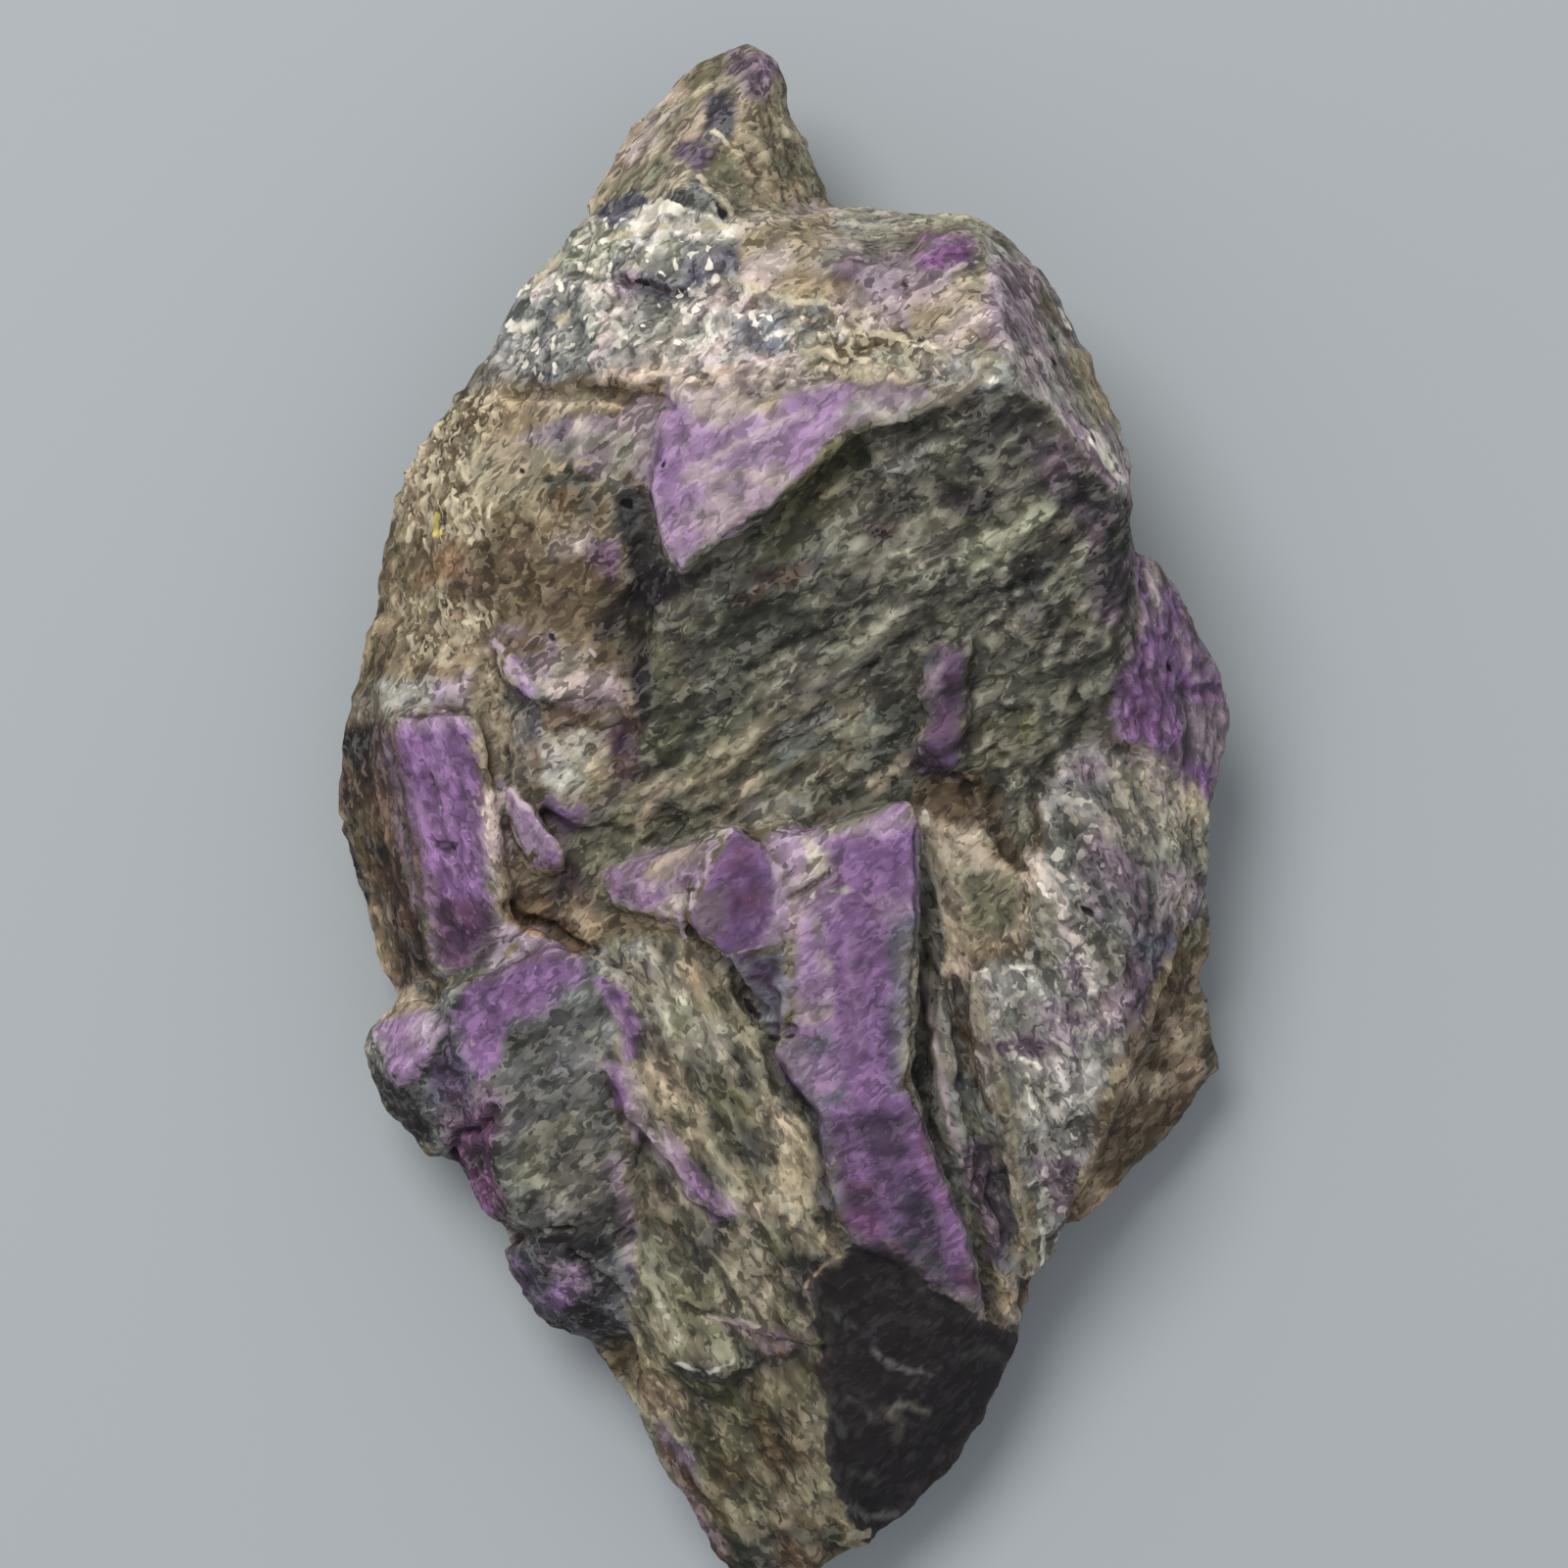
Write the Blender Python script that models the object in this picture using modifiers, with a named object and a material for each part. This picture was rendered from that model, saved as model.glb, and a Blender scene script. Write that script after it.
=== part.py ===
"""A hand-sized lump of purpurite, a broken and weathered phosphate ore, lying on its back.

The lump grew and broke as one piece, so it is one solid. It is put together from broken
blocks, each the convex hull of a few corners, which are fused, weathered and thinned out.
The origin is on the resting face, under the middle of the lump's box. +Y runs to the horn,
+Z is up, and lengths are in millimetres until the last step turns them into metres.
"""

import bmesh
import bpy
from mathutils import Vector, noise

# Driving sizes, in millimetres
STONE_WIDTH = 36.7
EYE_HEIGHT = 260.0
MIDDLE_HEIGHT = 10.0
FUSE_CELL = 0.27
TRIANGLES = 9600

# Corners are read in a square view from above, as (across, down, height). Across and down
# are in view pixels, and height is in millimetres above the resting face.
VIEW_MIDDLE = 800
LEFT_RIM, RIGHT_RIM = 341, 1259
PIXEL = STONE_WIDTH / (RIGHT_RIM - LEFT_RIM)

# The line down the middle of the lump that undersides are tucked in towards
SPINE_TOP = (790, 470)
SPINE_BOTTOM = (815, 1280)

# Weathering, in millimetres: how far apart the waves are, and how deep
BEND = (7.0, 0.45)
SWELL = (5.5, 0.30)
DENTS = (2.3, 0.17)
SEED_SHIFT = Vector((31.7, 12.9, 54.1))
NOISE_SEED = 7

MM = 0.001
STONE_NAME = "purpurite_stone"
COLLECTION_NAME = "purpurite specimen"
STONE_COLOUR = (0.15, 0.11, 0.15, 1.0)
STONE_ROUGHNESS = 0.72

# The horn and the shoulder at the top of the view
HORN = (
    (763, 45, 7.6), (745, 50, 7.0), (775, 52, 8.2), (770, 72, 9.8), (724, 138, 11.8), (702, 178, 12.8),
    (692, 206, 12.4), (640, 210, 10.6), (598, 212, 7.0), (622, 170, 6.6), (650, 124, 6.4),
    (700, 77, 6.2), (790, 67, 7.4), (800, 105, 6.6), (830, 165, 6.6), (856, 218, 7.6),
    (800, 216, 12.0), (742, 218, 13.2),
)
HORN_LUMP = ((690, 182, 13.2), (720, 178, 13.3), (742, 212, 13.8), (715, 218, 13.9), (682, 206, 12.9))
SHOULDER_PINK = (
    (745, 216, 13.6), (800, 212, 12.6), (856, 218, 9.6), (884, 212, 10.4), (866, 262, 14.2),
    (942, 290, 16.0), (952, 354, 17.1), (858, 314, 15.9), (760, 290, 15.0),
)
SHOULDER_TOP = (
    (856, 216, 8.0), (884, 207, 9.4), (930, 212, 10.2), (960, 214, 10.4), (993, 221, 10.8),
    (1014, 240, 12.0), (1002, 262, 15.2), (940, 292, 16.0), (860, 302, 15.7), (855, 258, 13.9),
)
MAGENTA_FACET = (
    (938, 246, 14.7), (960, 236, 14.2), (985, 240, 14.4), (1003, 258, 15.6), (965, 283, 16.2),
    (934, 270, 15.5),
)
CREAM_FACET = (
    (1004, 262, 15.4), (1016, 275, 16.0), (1018, 330, 18.2), (1012, 352, 18.5), (1000, 364, 18.0),
    (950, 354, 17.2), (934, 318, 16.4), (944, 290, 16.0),
)
RIGHT_SLOPE = (
    (1012, 240, 12.2), (1016, 272, 16.0), (1018, 330, 18.2), (1036, 390, 19.3), (1075, 420, 18.6),
    (1092, 446, 18.0), (1130, 486, 16.7), (1150, 506, 15.4), (1160, 535, 12.4), (1150, 465, 12.2),
    (1138, 430, 12.0), (1107, 355, 11.2), (1080, 295, 10.8), (1062, 276, 10.8), (1022, 249, 10.8),
)

# The glittering band below the horn
MICA_UPPER = (
    (553, 262, 7.2), (598, 213, 8.0), (640, 213, 11.2), (700, 216, 13.2), (745, 222, 13.9),
    (758, 288, 15.0), (690, 300, 14.1), (620, 300, 12.5), (540, 302, 8.3), (527, 300, 7.0),
)
MICA_LOWER = (
    (536, 278, 7.2), (620, 286, 11.8), (690, 290, 13.5), (755, 288, 14.7), (860, 313, 15.8),
    (950, 353, 17.1), (1000, 362, 17.8), (1004, 373, 17.8), (850, 384, 16.7), (690, 388, 15.3),
    (600, 388, 13.3), (530, 392, 10.0), (490, 384, 7.1), (503, 350, 7.0), (517, 322, 7.0),
)

# The high plate whose lower edge hangs over the big face
LILAC_PLATE = (
    (685, 388, 15.3), (760, 386, 16.0), (850, 383, 16.7), (885, 436, 18.0), (845, 456, 17.9),
    (806, 501, 17.7), (785, 519, 17.5), (745, 546, 17.3), (720, 561, 17.1), (694, 584, 16.6),
    (675, 550, 16.0), (662, 500, 15.5), (668, 440, 15.3),
)
PLATE_CREST = (
    (850, 381, 16.7), (1000, 362, 17.9), (1018, 332, 18.3), (1037, 388, 19.3), (1002, 406, 18.7),
    (960, 411, 18.4), (938, 427, 18.2), (885, 437, 18.0),
)

# The big dark face and what breaks out of it
BIG_FACE_LEFT = (
    (672, 592, 13.6), (700, 590, 14.7), (745, 548, 15.3), (806, 502, 15.9), (845, 457, 16.3),
    (890, 436, 16.7), (930, 560, 15.3), (975, 790, 10.4), (930, 820, 10.2), (745, 843, 10.3),
    (622, 880, 9.6), (600, 862, 9.5), (628, 795, 10.1), (650, 690, 11.9),
)
BIG_FACE_RIGHT = (
    (885, 437, 16.7), (940, 427, 17.3), (1000, 407, 18.0), (1040, 396, 18.8), (1075, 421, 18.4),
    (1130, 487, 16.5), (1155, 540, 14.9), (1160, 600, 13.6), (1148, 680, 12.3), (1130, 762, 11.2),
    (1080, 762, 10.8), (960, 792, 10.4), (890, 640, 13.9),
)
FACE_TONGUE = ((970, 780, 10.8), (1082, 755, 11.0), (1062, 810, 10.2), (1042, 888, 9.0), (1000, 832, 9.8))
PURPLE_BLADE = (
    (986, 655, 14.3), (962, 664, 14.2), (941, 698, 13.7), (936, 765, 12.2), (972, 782, 11.8),
    (985, 725, 12.9),
)
RIGHT_FLANK = (
    (1160, 592, 12.9), (1170, 568, 11.2), (1183, 577, 9.6), (1200, 602, 8.8), (1218, 640, 7.8),
    (1250, 700, 6.6), (1259, 740, 6.0), (1242, 805, 6.2), (1235, 822, 6.4), (1192, 782, 9.8),
    (1132, 762, 11.3), (1146, 680, 12.4),
)

# The left side, from the bulge down to the purple block
BULGE_UPPER = (
    (490, 366, 7.0), (520, 364, 9.0), (600, 378, 12.5), (678, 384, 14.0), (664, 440, 14.4),
    (652, 500, 14.2), (620, 508, 14.2), (560, 500, 13.5), (500, 520, 11.8), (440, 500, 9.0),
    (408, 480, 6.4), (430, 445, 6.4), (460, 412, 6.6),
)
BULGE_MIDDLE = (
    (408, 480, 6.5), (440, 500, 9.0), (500, 520, 11.8), (560, 502, 13.5), (620, 506, 14.2),
    (636, 530, 13.7), (640, 600, 12.8), (636, 646, 12.2), (600, 652, 12.1), (520, 642, 11.0),
    (440, 652, 8.8), (380, 640, 5.2), (388, 590, 5.4), (396, 545, 5.8), (397, 520, 6.0),
)
BULGE_LOWER = (
    (380, 630, 5.3), (440, 640, 8.9), (500, 650, 10.2), (498, 728, 9.9), (470, 724, 10.0),
    (405, 736, 8.8), (354, 712, 4.9), (365, 670, 4.9),
)
NUB_UPPER = (
    (508, 658, 10.9), (540, 641, 11.5), (600, 650, 12.1), (636, 650, 12.1), (642, 690, 12.0),
    (626, 714, 12.6), (600, 714, 12.9), (548, 719, 12.8), (520, 696, 12.0),
)
NUB_LOWER = (
    (524, 726, 11.3), (560, 722, 12.2), (610, 720, 12.4), (642, 712, 12.0), (634, 790, 11.0),
    (598, 842, 10.6), (575, 836, 11.0), (545, 802, 11.6), (525, 795, 11.0),
)
SMALL_WEDGE = (
    (514, 804, 11.2), (526, 806, 11.8), (553, 840, 12.5), (573, 870, 12.4), (569, 887, 11.4),
    (545, 885, 10.9), (530, 860, 11.0),
)
NUB_FLOOR = (
    (514, 650, 10.4), (642, 650, 11.4), (648, 790, 10.3), (604, 862, 9.7), (562, 936, 8.7),
    (522, 905, 9.0), (514, 740, 10.1),
)
VEIN_FLOOR = (
    (484, 645, 9.8), (522, 645, 10.0), (530, 740, 9.7), (535, 870, 9.6), (560, 925, 9.0),
    (520, 928, 9.1), (496, 880, 9.3), (486, 800, 9.3),
)
PURPLE_BLOCK = (
    (404, 740, 10.0), (418, 732, 10.5), (446, 724, 11.1), (486, 730, 11.3), (492, 790, 11.4),
    (500, 860, 11.2), (514, 916, 10.8), (528, 934, 10.3), (520, 978, 9.8), (470, 996, 9.0),
    (440, 990, 8.6), (430, 880, 9.4), (412, 800, 9.8),
)
LEFT_SLOPE = (
    (346, 755, 4.6), (354, 712, 4.9), (392, 694, 7.8), (404, 738, 9.2), (414, 800, 9.2),
    (430, 880, 9.0), (440, 960, 8.4), (448, 1002, 7.9), (420, 1014, 6.6), (400, 1018, 5.4),
    (390, 985, 4.9), (362, 910, 4.4), (341, 830, 4.4),
)
TAN_WEDGE = ((512, 924, 9.8), (560, 946, 10.0), (578, 964, 10.4), (520, 988, 9.6), (504, 960, 9.4))

# The lower left block and the lump under it
GREY_BLOCK = (
    (452, 1010, 9.6), (510, 984, 10.8), (560, 966, 11.5), (600, 976, 11.5), (638, 1002, 11.3),
    (655, 1056, 11.0), (628, 1092, 10.9), (640, 1180, 10.2), (648, 1256, 9.4), (580, 1264, 9.2),
    (540, 1264, 8.8), (508, 1238, 7.6), (500, 1140, 9.8), (470, 1090, 9.4),
)
GREY_BLOCK_RIM = ((500, 1140, 9.0), (520, 1250, 7.6), (498, 1248, 5.6), (476, 1222, 4.8), (470, 1190, 6.2))
LILAC_CORNER = (
    (376, 1060, 5.0), (384, 1046, 5.4), (400, 1022, 6.0), (430, 1024, 7.8), (464, 1036, 9.2),
    (442, 1072, 9.0), (408, 1100, 7.6), (385, 1110, 4.8),
)
DARK_CORNER = (
    (464, 1036, 9.0), (442, 1072, 8.9), (408, 1100, 7.4), (384, 1108, 4.7), (400, 1138, 4.6),
    (432, 1178, 4.8), (462, 1178, 6.8), (500, 1128, 9.2), (486, 1080, 9.2),
)
BLUE_LUMP = (
    (512, 1275, 4.8), (540, 1272, 7.8), (585, 1268, 8.7), (640, 1272, 9.1), (662, 1300, 9.0),
    (656, 1340, 7.8), (640, 1362, 5.0), (600, 1367, 4.4), (560, 1355, 4.3), (545, 1340, 4.3),
    (525, 1305, 4.5),
)

# The purple plates in the lower middle
PLATE_WING = (
    (609, 890, 10.5), (625, 921, 10.5), (660, 934, 10.9), (690, 956, 11.0), (702, 930, 12.7),
    (736, 864, 13.1), (746, 846, 12.7), (700, 862, 11.6), (625, 880, 10.5),
)
DIAMOND = (
    (750, 846, 12.9), (732, 868, 13.1), (700, 926, 12.9), (704, 942, 12.3), (742, 976, 12.2),
    (800, 972, 12.1), (796, 900, 12.4), (784, 872, 12.5), (762, 1012, 9.8), (804, 1056, 9.6),
)
PLATE_SADDLE = (
    (772, 838, 11.2), (818, 834, 11.6), (842, 900, 12.9), (815, 960, 12.6), (792, 960, 11.9),
    (778, 880, 12.3),
)
PLATE_UPPER = (
    (816, 851, 12.6), (860, 842, 13.0), (900, 832, 13.4), (929, 814, 13.6), (940, 850, 13.4),
    (936, 920, 13.2), (924, 1000, 13.0), (921, 1100, 12.6), (906, 1132, 12.4), (832, 1132, 11.7),
    (786, 1072, 11.6), (809, 1046, 12.0), (812, 940, 12.5),
)
PLATE_LOWER = (
    (830, 1124, 11.7), (921, 1098, 12.6), (938, 1140, 12.2), (957, 1180, 11.6), (978, 1230, 10.8),
    (992, 1270, 10.0), (1001, 1325, 8.6), (994, 1336, 8.3), (960, 1312, 9.0), (925, 1283, 9.6),
    (870, 1267, 10.0), (852, 1230, 10.4), (846, 1180, 11.0),
)
BELOW_NUB = (
    (575, 884, 9.4), (600, 850, 9.8), (625, 880, 9.9), (640, 940, 10.1), (700, 955, 10.4),
    (640, 988, 10.0), (604, 972, 9.6), (572, 932, 9.0),
)

# The olive face at the bottom and the dark facet beside it
OLIVE_UPPER = (
    (622, 990, 10.2), (650, 962, 10.6), (700, 955, 10.9), (742, 985, 10.4), (775, 1050, 10.0),
    (832, 1132, 9.7), (854, 1205, 9.6), (858, 1280, 9.6), (832, 1304, 9.5), (784, 1290, 9.7),
    (722, 1234, 10.1), (690, 1194, 10.3), (640, 1142, 10.6), (622, 1092, 10.7),
)
OLIVE_MIDDLE = (
    (640, 1180, 9.4), (700, 1200, 9.6), (790, 1285, 9.4), (836, 1300, 9.3), (842, 1374, 8.9),
    (792, 1372, 9.0), (744, 1396, 8.9), (684, 1392, 8.3), (650, 1388, 6.4), (646, 1366, 6.8),
    (660, 1300, 9.0),
)
OLIVE_LOWER = (
    (646, 1388, 6.0), (700, 1380, 8.2), (836, 1372, 8.4), (846, 1440, 7.9), (842, 1480, 7.5),
    (872, 1552, 6.0), (890, 1572, 4.8), (848, 1600, 4.4), (812, 1628, 4.2), (788, 1635, 4.0),
    (758, 1626, 4.0), (735, 1600, 4.2), (695, 1520, 4.6), (660, 1455, 5.0), (645, 1432, 5.4),
)
DARK_FACET = (
    (832, 1302, 9.1), (856, 1281, 9.4), (870, 1266, 9.6), (902, 1267, 9.5), (930, 1286, 9.1),
    (960, 1314, 8.6), (996, 1338, 8.0), (1022, 1352, 6.8), (1050, 1364, 5.0), (1040, 1390, 4.6),
    (1018, 1425, 4.4), (980, 1485, 4.1), (972, 1500, 3.9), (932, 1537, 3.8), (912, 1557, 3.9),
    (882, 1575, 4.2), (868, 1550, 5.2), (850, 1520, 6.2), (840, 1480, 6.9), (840, 1400, 8.1),
)

# The laths and thin layers to the right of the purple plates
SIDE_FLOOR = (
    (936, 800, 10.2), (985, 786, 10.2), (1044, 888, 9.9), (1062, 932, 11.2), (1040, 986, 11.0),
    (985, 1000, 10.4), (945, 1000, 9.9), (938, 920, 10.3),
)
LATH_UPPER = (
    (1058, 802, 10.7), (1085, 762, 11.0), (1132, 766, 11.0), (1190, 786, 9.6), (1236, 823, 6.8),
    (1232, 885, 6.6), (1236, 932, 6.3), (1206, 960, 8.5), (1150, 962, 10.8), (1062, 932, 12.2),
    (1046, 888, 11.4),
)
LATH_LOWER = (
    (1062, 928, 12.0), (1150, 962, 10.8), (1206, 962, 8.4), (1192, 1010, 8.3), (1162, 1070, 8.8),
    (1132, 1150, 8.6), (1100, 1236, 7.4), (1074, 1290, 5.8), (1054, 1262, 7.8), (1034, 1140, 9.9),
    (1004, 1000, 11.5), (1004, 988, 11.5),
)
GREEN_LAMINA = ((986, 990, 11.3), (1004, 1000, 11.5), (1034, 1140, 10.3), (1012, 1142, 10.1), (990, 1060, 10.8))
GREEN_LAMINA_END = ((1012, 1136, 10.1), (1034, 1138, 10.3), (1066, 1294, 7.0), (1046, 1302, 7.0), (1034, 1230, 8.6))
BEIGE_LAMINA = ((944, 990, 10.3), (958, 986, 10.7), (980, 1160, 10.0), (966, 1164, 9.8), (949, 1070, 10.1))
BEIGE_LAMINA_END = (
    (966, 1156, 9.8), (982, 1152, 10.1), (1012, 1240, 9.0), (1054, 1350, 5.6), (1030, 1354, 6.0),
    (1004, 1280, 7.6), (980, 1206, 9.0),
)
BETWEEN_LAMINAE = (
    (960, 1000, 9.6), (990, 1000, 10.0), (1010, 1150, 9.2), (1046, 1290, 6.6), (1058, 1330, 5.2),
    (1010, 1330, 6.6), (985, 1240, 8.2), (950, 1120, 9.0),
)
REAR_LAYER = (
    (1206, 958, 6.4), (1240, 915, 5.2), (1240, 935, 5.0), (1236, 965, 4.8), (1222, 995, 4.7),
    (1228, 1028, 4.4), (1247, 1088, 3.8), (1220, 1140, 3.6), (1175, 1187, 3.8), (1125, 1232, 4.4),
    (1098, 1257, 4.8), (1108, 1190, 6.4), (1150, 1100, 6.9), (1176, 1040, 6.8), (1196, 1000, 6.5),
)

# What all of these stand on
VALLEY_HEAD = (
    (636, 392, 13.6), (688, 392, 14.5), (676, 440, 14.4), (690, 500, 13.9), (650, 530, 13.2),
    (622, 500, 13.6),
)
VALLEY_FLOOR = (
    (618, 500, 12.9), (690, 540, 12.9), (690, 610, 12.7), (656, 720, 10.9), (628, 720, 10.9),
    (630, 600, 12.2),
)
PLATE_GROOVE = (
    (915, 860, 10.2), (950, 860, 10.2), (990, 1000, 9.8), (1006, 1150, 8.9), (1010, 1300, 6.8),
    (960, 1250, 8.2), (930, 1140, 9.3), (912, 1000, 9.8),
)
CORE_HIGH = (
    (640, 400, 11.6), (700, 330, 12.0), (900, 300, 13.6), (1010, 330, 15.2), (1040, 410, 16.2),
    (1110, 490, 14.6), (1130, 600, 12.0), (1100, 740, 9.6), (960, 780, 9.2), (880, 820, 9.0),
    (660, 820, 9.2), (640, 690, 10.4), (630, 520, 12.2),
)
CORE_PLATES = (
    (640, 930, 9.2), (745, 870, 10.0), (930, 840, 10.4), (1060, 900, 9.4), (1180, 900, 7.2),
    (1150, 1060, 7.4), (1080, 1200, 6.6), (1000, 1290, 7.2), (870, 1300, 8.2), (700, 1330, 8.0),
    (560, 1256, 7.6), (510, 1100, 7.8), (430, 1030, 6.6), (436, 990, 7.2), (520, 970, 8.2),
)
SEAM_FLOOR = (
    (600, 1080, 9.6), (640, 1080, 9.9), (720, 1210, 9.3), (690, 1300, 8.8), (600, 1300, 8.0),
    (560, 1250, 8.2),
)
CORE_TOP = (
    (560, 300, 6.0), (660, 180, 6.5), (800, 190, 7.0), (960, 245, 9.5), (1060, 320, 10.4),
    (1120, 450, 11.6), (1140, 600, 10.6), (1180, 720, 6.8), (1090, 860, 8.4), (700, 880, 8.6),
    (500, 830, 8.2), (410, 640, 5.4), (450, 460, 6.4),
)
CORE_BOTTOM = (
    (410, 640, 5.4), (500, 830, 8.2), (700, 880, 8.6), (1090, 860, 8.4), (1190, 860, 6.4),
    (1190, 1060, 4.8), (1060, 1290, 4.6), (960, 1440, 4.2), (860, 1560, 4.2), (760, 1590, 4.0),
    (670, 1430, 4.6), (560, 1320, 4.2), (420, 1130, 4.4), (366, 860, 4.2),
)

# Each block is its corners, the height its foot reaches down to, and the share of the way to
# the spine by which that foot is tucked in. Blocks away from the rim go straight down.
RIM_BLOCKS = (
    (HORN, 2.6, 0.20),
    (SHOULDER_TOP, 2.0, 0.28),
    (RIGHT_SLOPE, 1.2, 0.30),
    (MICA_UPPER, 1.8, 0.30),
    (MICA_LOWER, 1.2, 0.34),
    (RIGHT_FLANK, 1.0, 0.26),
    (BULGE_UPPER, 0.4, 0.34),
    (BULGE_MIDDLE, -0.6, 0.32),
    (BULGE_LOWER, 0.6, 0.30),
    (LEFT_SLOPE, 0.9, 0.24),
    (LILAC_CORNER, 1.6, 0.26),
    (DARK_CORNER, 1.4, 0.28),
    (GREY_BLOCK_RIM, 1.5, 0.32),
    (BLUE_LUMP, 1.3, 0.30),
    (OLIVE_LOWER, 1.5, 0.22),
    (DARK_FACET, 1.0, 0.32),
    (LATH_UPPER, 1.6, 0.24),
    (LATH_LOWER, 1.2, 0.26),
    (REAR_LAYER, 0.8, 0.22),
    (BEIGE_LAMINA_END, 2.0, 0.20),
    (BETWEEN_LAMINAE, 2.0, 0.20),
    (CORE_TOP, -1.2, 0.34),
    (CORE_BOTTOM, -1.2, 0.36),
)
INNER_BLOCKS = (
    HORN_LUMP, SHOULDER_PINK, MAGENTA_FACET, CREAM_FACET, LILAC_PLATE, PLATE_CREST,
    BIG_FACE_LEFT, BIG_FACE_RIGHT, FACE_TONGUE, PURPLE_BLADE, NUB_UPPER, NUB_LOWER,
    SMALL_WEDGE, VEIN_FLOOR, PURPLE_BLOCK, TAN_WEDGE, GREY_BLOCK, PLATE_WING, DIAMOND,
    PLATE_SADDLE, PLATE_UPPER, PLATE_LOWER, BELOW_NUB, OLIVE_UPPER, OLIVE_MIDDLE,
    SIDE_FLOOR, GREEN_LAMINA, GREEN_LAMINA_END, BEIGE_LAMINA, NUB_FLOOR, VALLEY_HEAD,
    VALLEY_FLOOR, PLATE_GROOVE, SEAM_FLOOR, CORE_HIGH, CORE_PLATES,
)
INNER_FOOT = 3.6


def clear_scene():
    for obj in list(bpy.data.objects):
        bpy.data.objects.remove(obj, do_unlink=True)


def spot(across, down, height):
    """The point that is seen at this place of the view and lies at this height."""
    reach = PIXEL * (EYE_HEIGHT - height) / (EYE_HEIGHT - MIDDLE_HEIGHT)
    return Vector(((across - VIEW_MIDDLE) * reach, (VIEW_MIDDLE - down) * reach, height))


def tucked(across, down, share):
    """The view place moved by this share of its way to the nearest point of the spine."""
    along = (down - SPINE_TOP[1]) / (SPINE_BOTTOM[1] - SPINE_TOP[1])
    along = min(1.0, max(0.0, along))
    spine_across = SPINE_TOP[0] + along * (SPINE_BOTTOM[0] - SPINE_TOP[0])
    spine_down = SPINE_TOP[1] + along * (SPINE_BOTTOM[1] - SPINE_TOP[1])
    return across + share * (spine_across - across), down + share * (spine_down - down)


def block_mesh(corners, foot, tuck):
    """The convex hull of a block's corners and of the feet below them."""
    block = bmesh.new()
    for across, down, height in corners:
        block.verts.new(spot(across, down, height))
        foot_across, foot_down = tucked(across, down, tuck)
        block.verts.new(spot(foot_across, foot_down, foot))
    hull = bmesh.ops.convex_hull(block, input=block.verts)
    spare = [item for item in hull["geom_interior"] if isinstance(item, bmesh.types.BMVert)]
    bmesh.ops.delete(block, geom=spare, context="VERTS")
    bmesh.ops.recalc_face_normals(block, faces=block.faces)
    mesh = bpy.data.meshes.new("block")
    block.to_mesh(mesh)
    block.free()
    return mesh


def heap_of_blocks():
    """All blocks in one mesh, still overlapping."""
    heap = bmesh.new()
    blocks = list(RIM_BLOCKS) + [(corners, INNER_FOOT, 0.0) for corners in INNER_BLOCKS]
    for corners, foot, tuck in blocks:
        mesh = block_mesh(corners, foot, tuck)
        heap.from_mesh(mesh)
        bpy.data.meshes.remove(mesh)
    mesh = bpy.data.meshes.new(STONE_NAME)
    heap.to_mesh(mesh)
    heap.free()
    return mesh


def apply_modifiers(obj):
    """Puts the evaluated mesh in place of the object's own and drops its modifiers."""
    graph = bpy.context.evaluated_depsgraph_get()
    baked = bpy.data.meshes.new_from_object(obj.evaluated_get(graph))
    obj.modifiers.clear()
    old = obj.data
    obj.data = baked
    bpy.data.meshes.remove(old)


def fuse(obj):
    """Makes one closed skin round the overlapping blocks."""
    remesh = obj.modifiers.new("fuse blocks", "REMESH")
    remesh.mode = "VOXEL"
    remesh.voxel_size = FUSE_CELL
    apply_modifiers(obj)


def weather(obj):
    """Bends the straight edges a little and gives the faces a slow swell and shallow dents."""
    noise.seed_set(NOISE_SEED)
    stone = bmesh.new()
    stone.from_mesh(obj.data)
    stone.normal_update()
    moves = []
    for vert in stone.verts:
        place = vert.co + SEED_SHIFT
        bend = noise.noise_vector(place / BEND[0]) * BEND[1]
        swell = noise.noise(place / SWELL[0]) * SWELL[1]
        dent = noise.noise(place / DENTS[0] + SEED_SHIFT) * DENTS[1]
        moves.append(bend + vert.normal * (swell + dent))
    for vert, move in zip(stone.verts, moves):
        vert.co += move
    stone.to_mesh(obj.data)
    stone.free()


def thin_out(obj):
    """Brings the skin down to the wanted number of triangles."""
    thinner = obj.modifiers.new("thin out", "DECIMATE")
    thinner.decimate_type = "COLLAPSE"
    thinner.ratio = TRIANGLES / (2 * len(obj.data.polygons))
    thinner.use_collapse_triangulate = True
    apply_modifiers(obj)


def cut_resting_face(obj):
    """Cuts the underside off flat at height zero."""
    stone = bmesh.new()
    stone.from_mesh(obj.data)
    bmesh.ops.bisect_plane(
        stone,
        geom=stone.verts[:] + stone.edges[:] + stone.faces[:],
        plane_co=(0.0, 0.0, 0.0),
        plane_no=(0.0, 0.0, -1.0),
        clear_outer=True,
    )
    rim = [edge for edge in stone.edges if edge.is_boundary]
    bmesh.ops.holes_fill(stone, edges=rim)
    bmesh.ops.triangulate(stone, faces=stone.faces[:])
    bmesh.ops.recalc_face_normals(stone, faces=stone.faces[:])
    stone.to_mesh(obj.data)
    stone.free()


def centre_and_scale(obj):
    """Brings the middle of the lump's box over the origin and turns millimetres into metres."""
    across = [vert.co.x for vert in obj.data.vertices]
    along = [vert.co.y for vert in obj.data.vertices]
    middle = Vector(((min(across) + max(across)) / 2, (min(along) + max(along)) / 2, 0.0))
    for vert in obj.data.vertices:
        vert.co = (vert.co - middle) * MM


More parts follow.
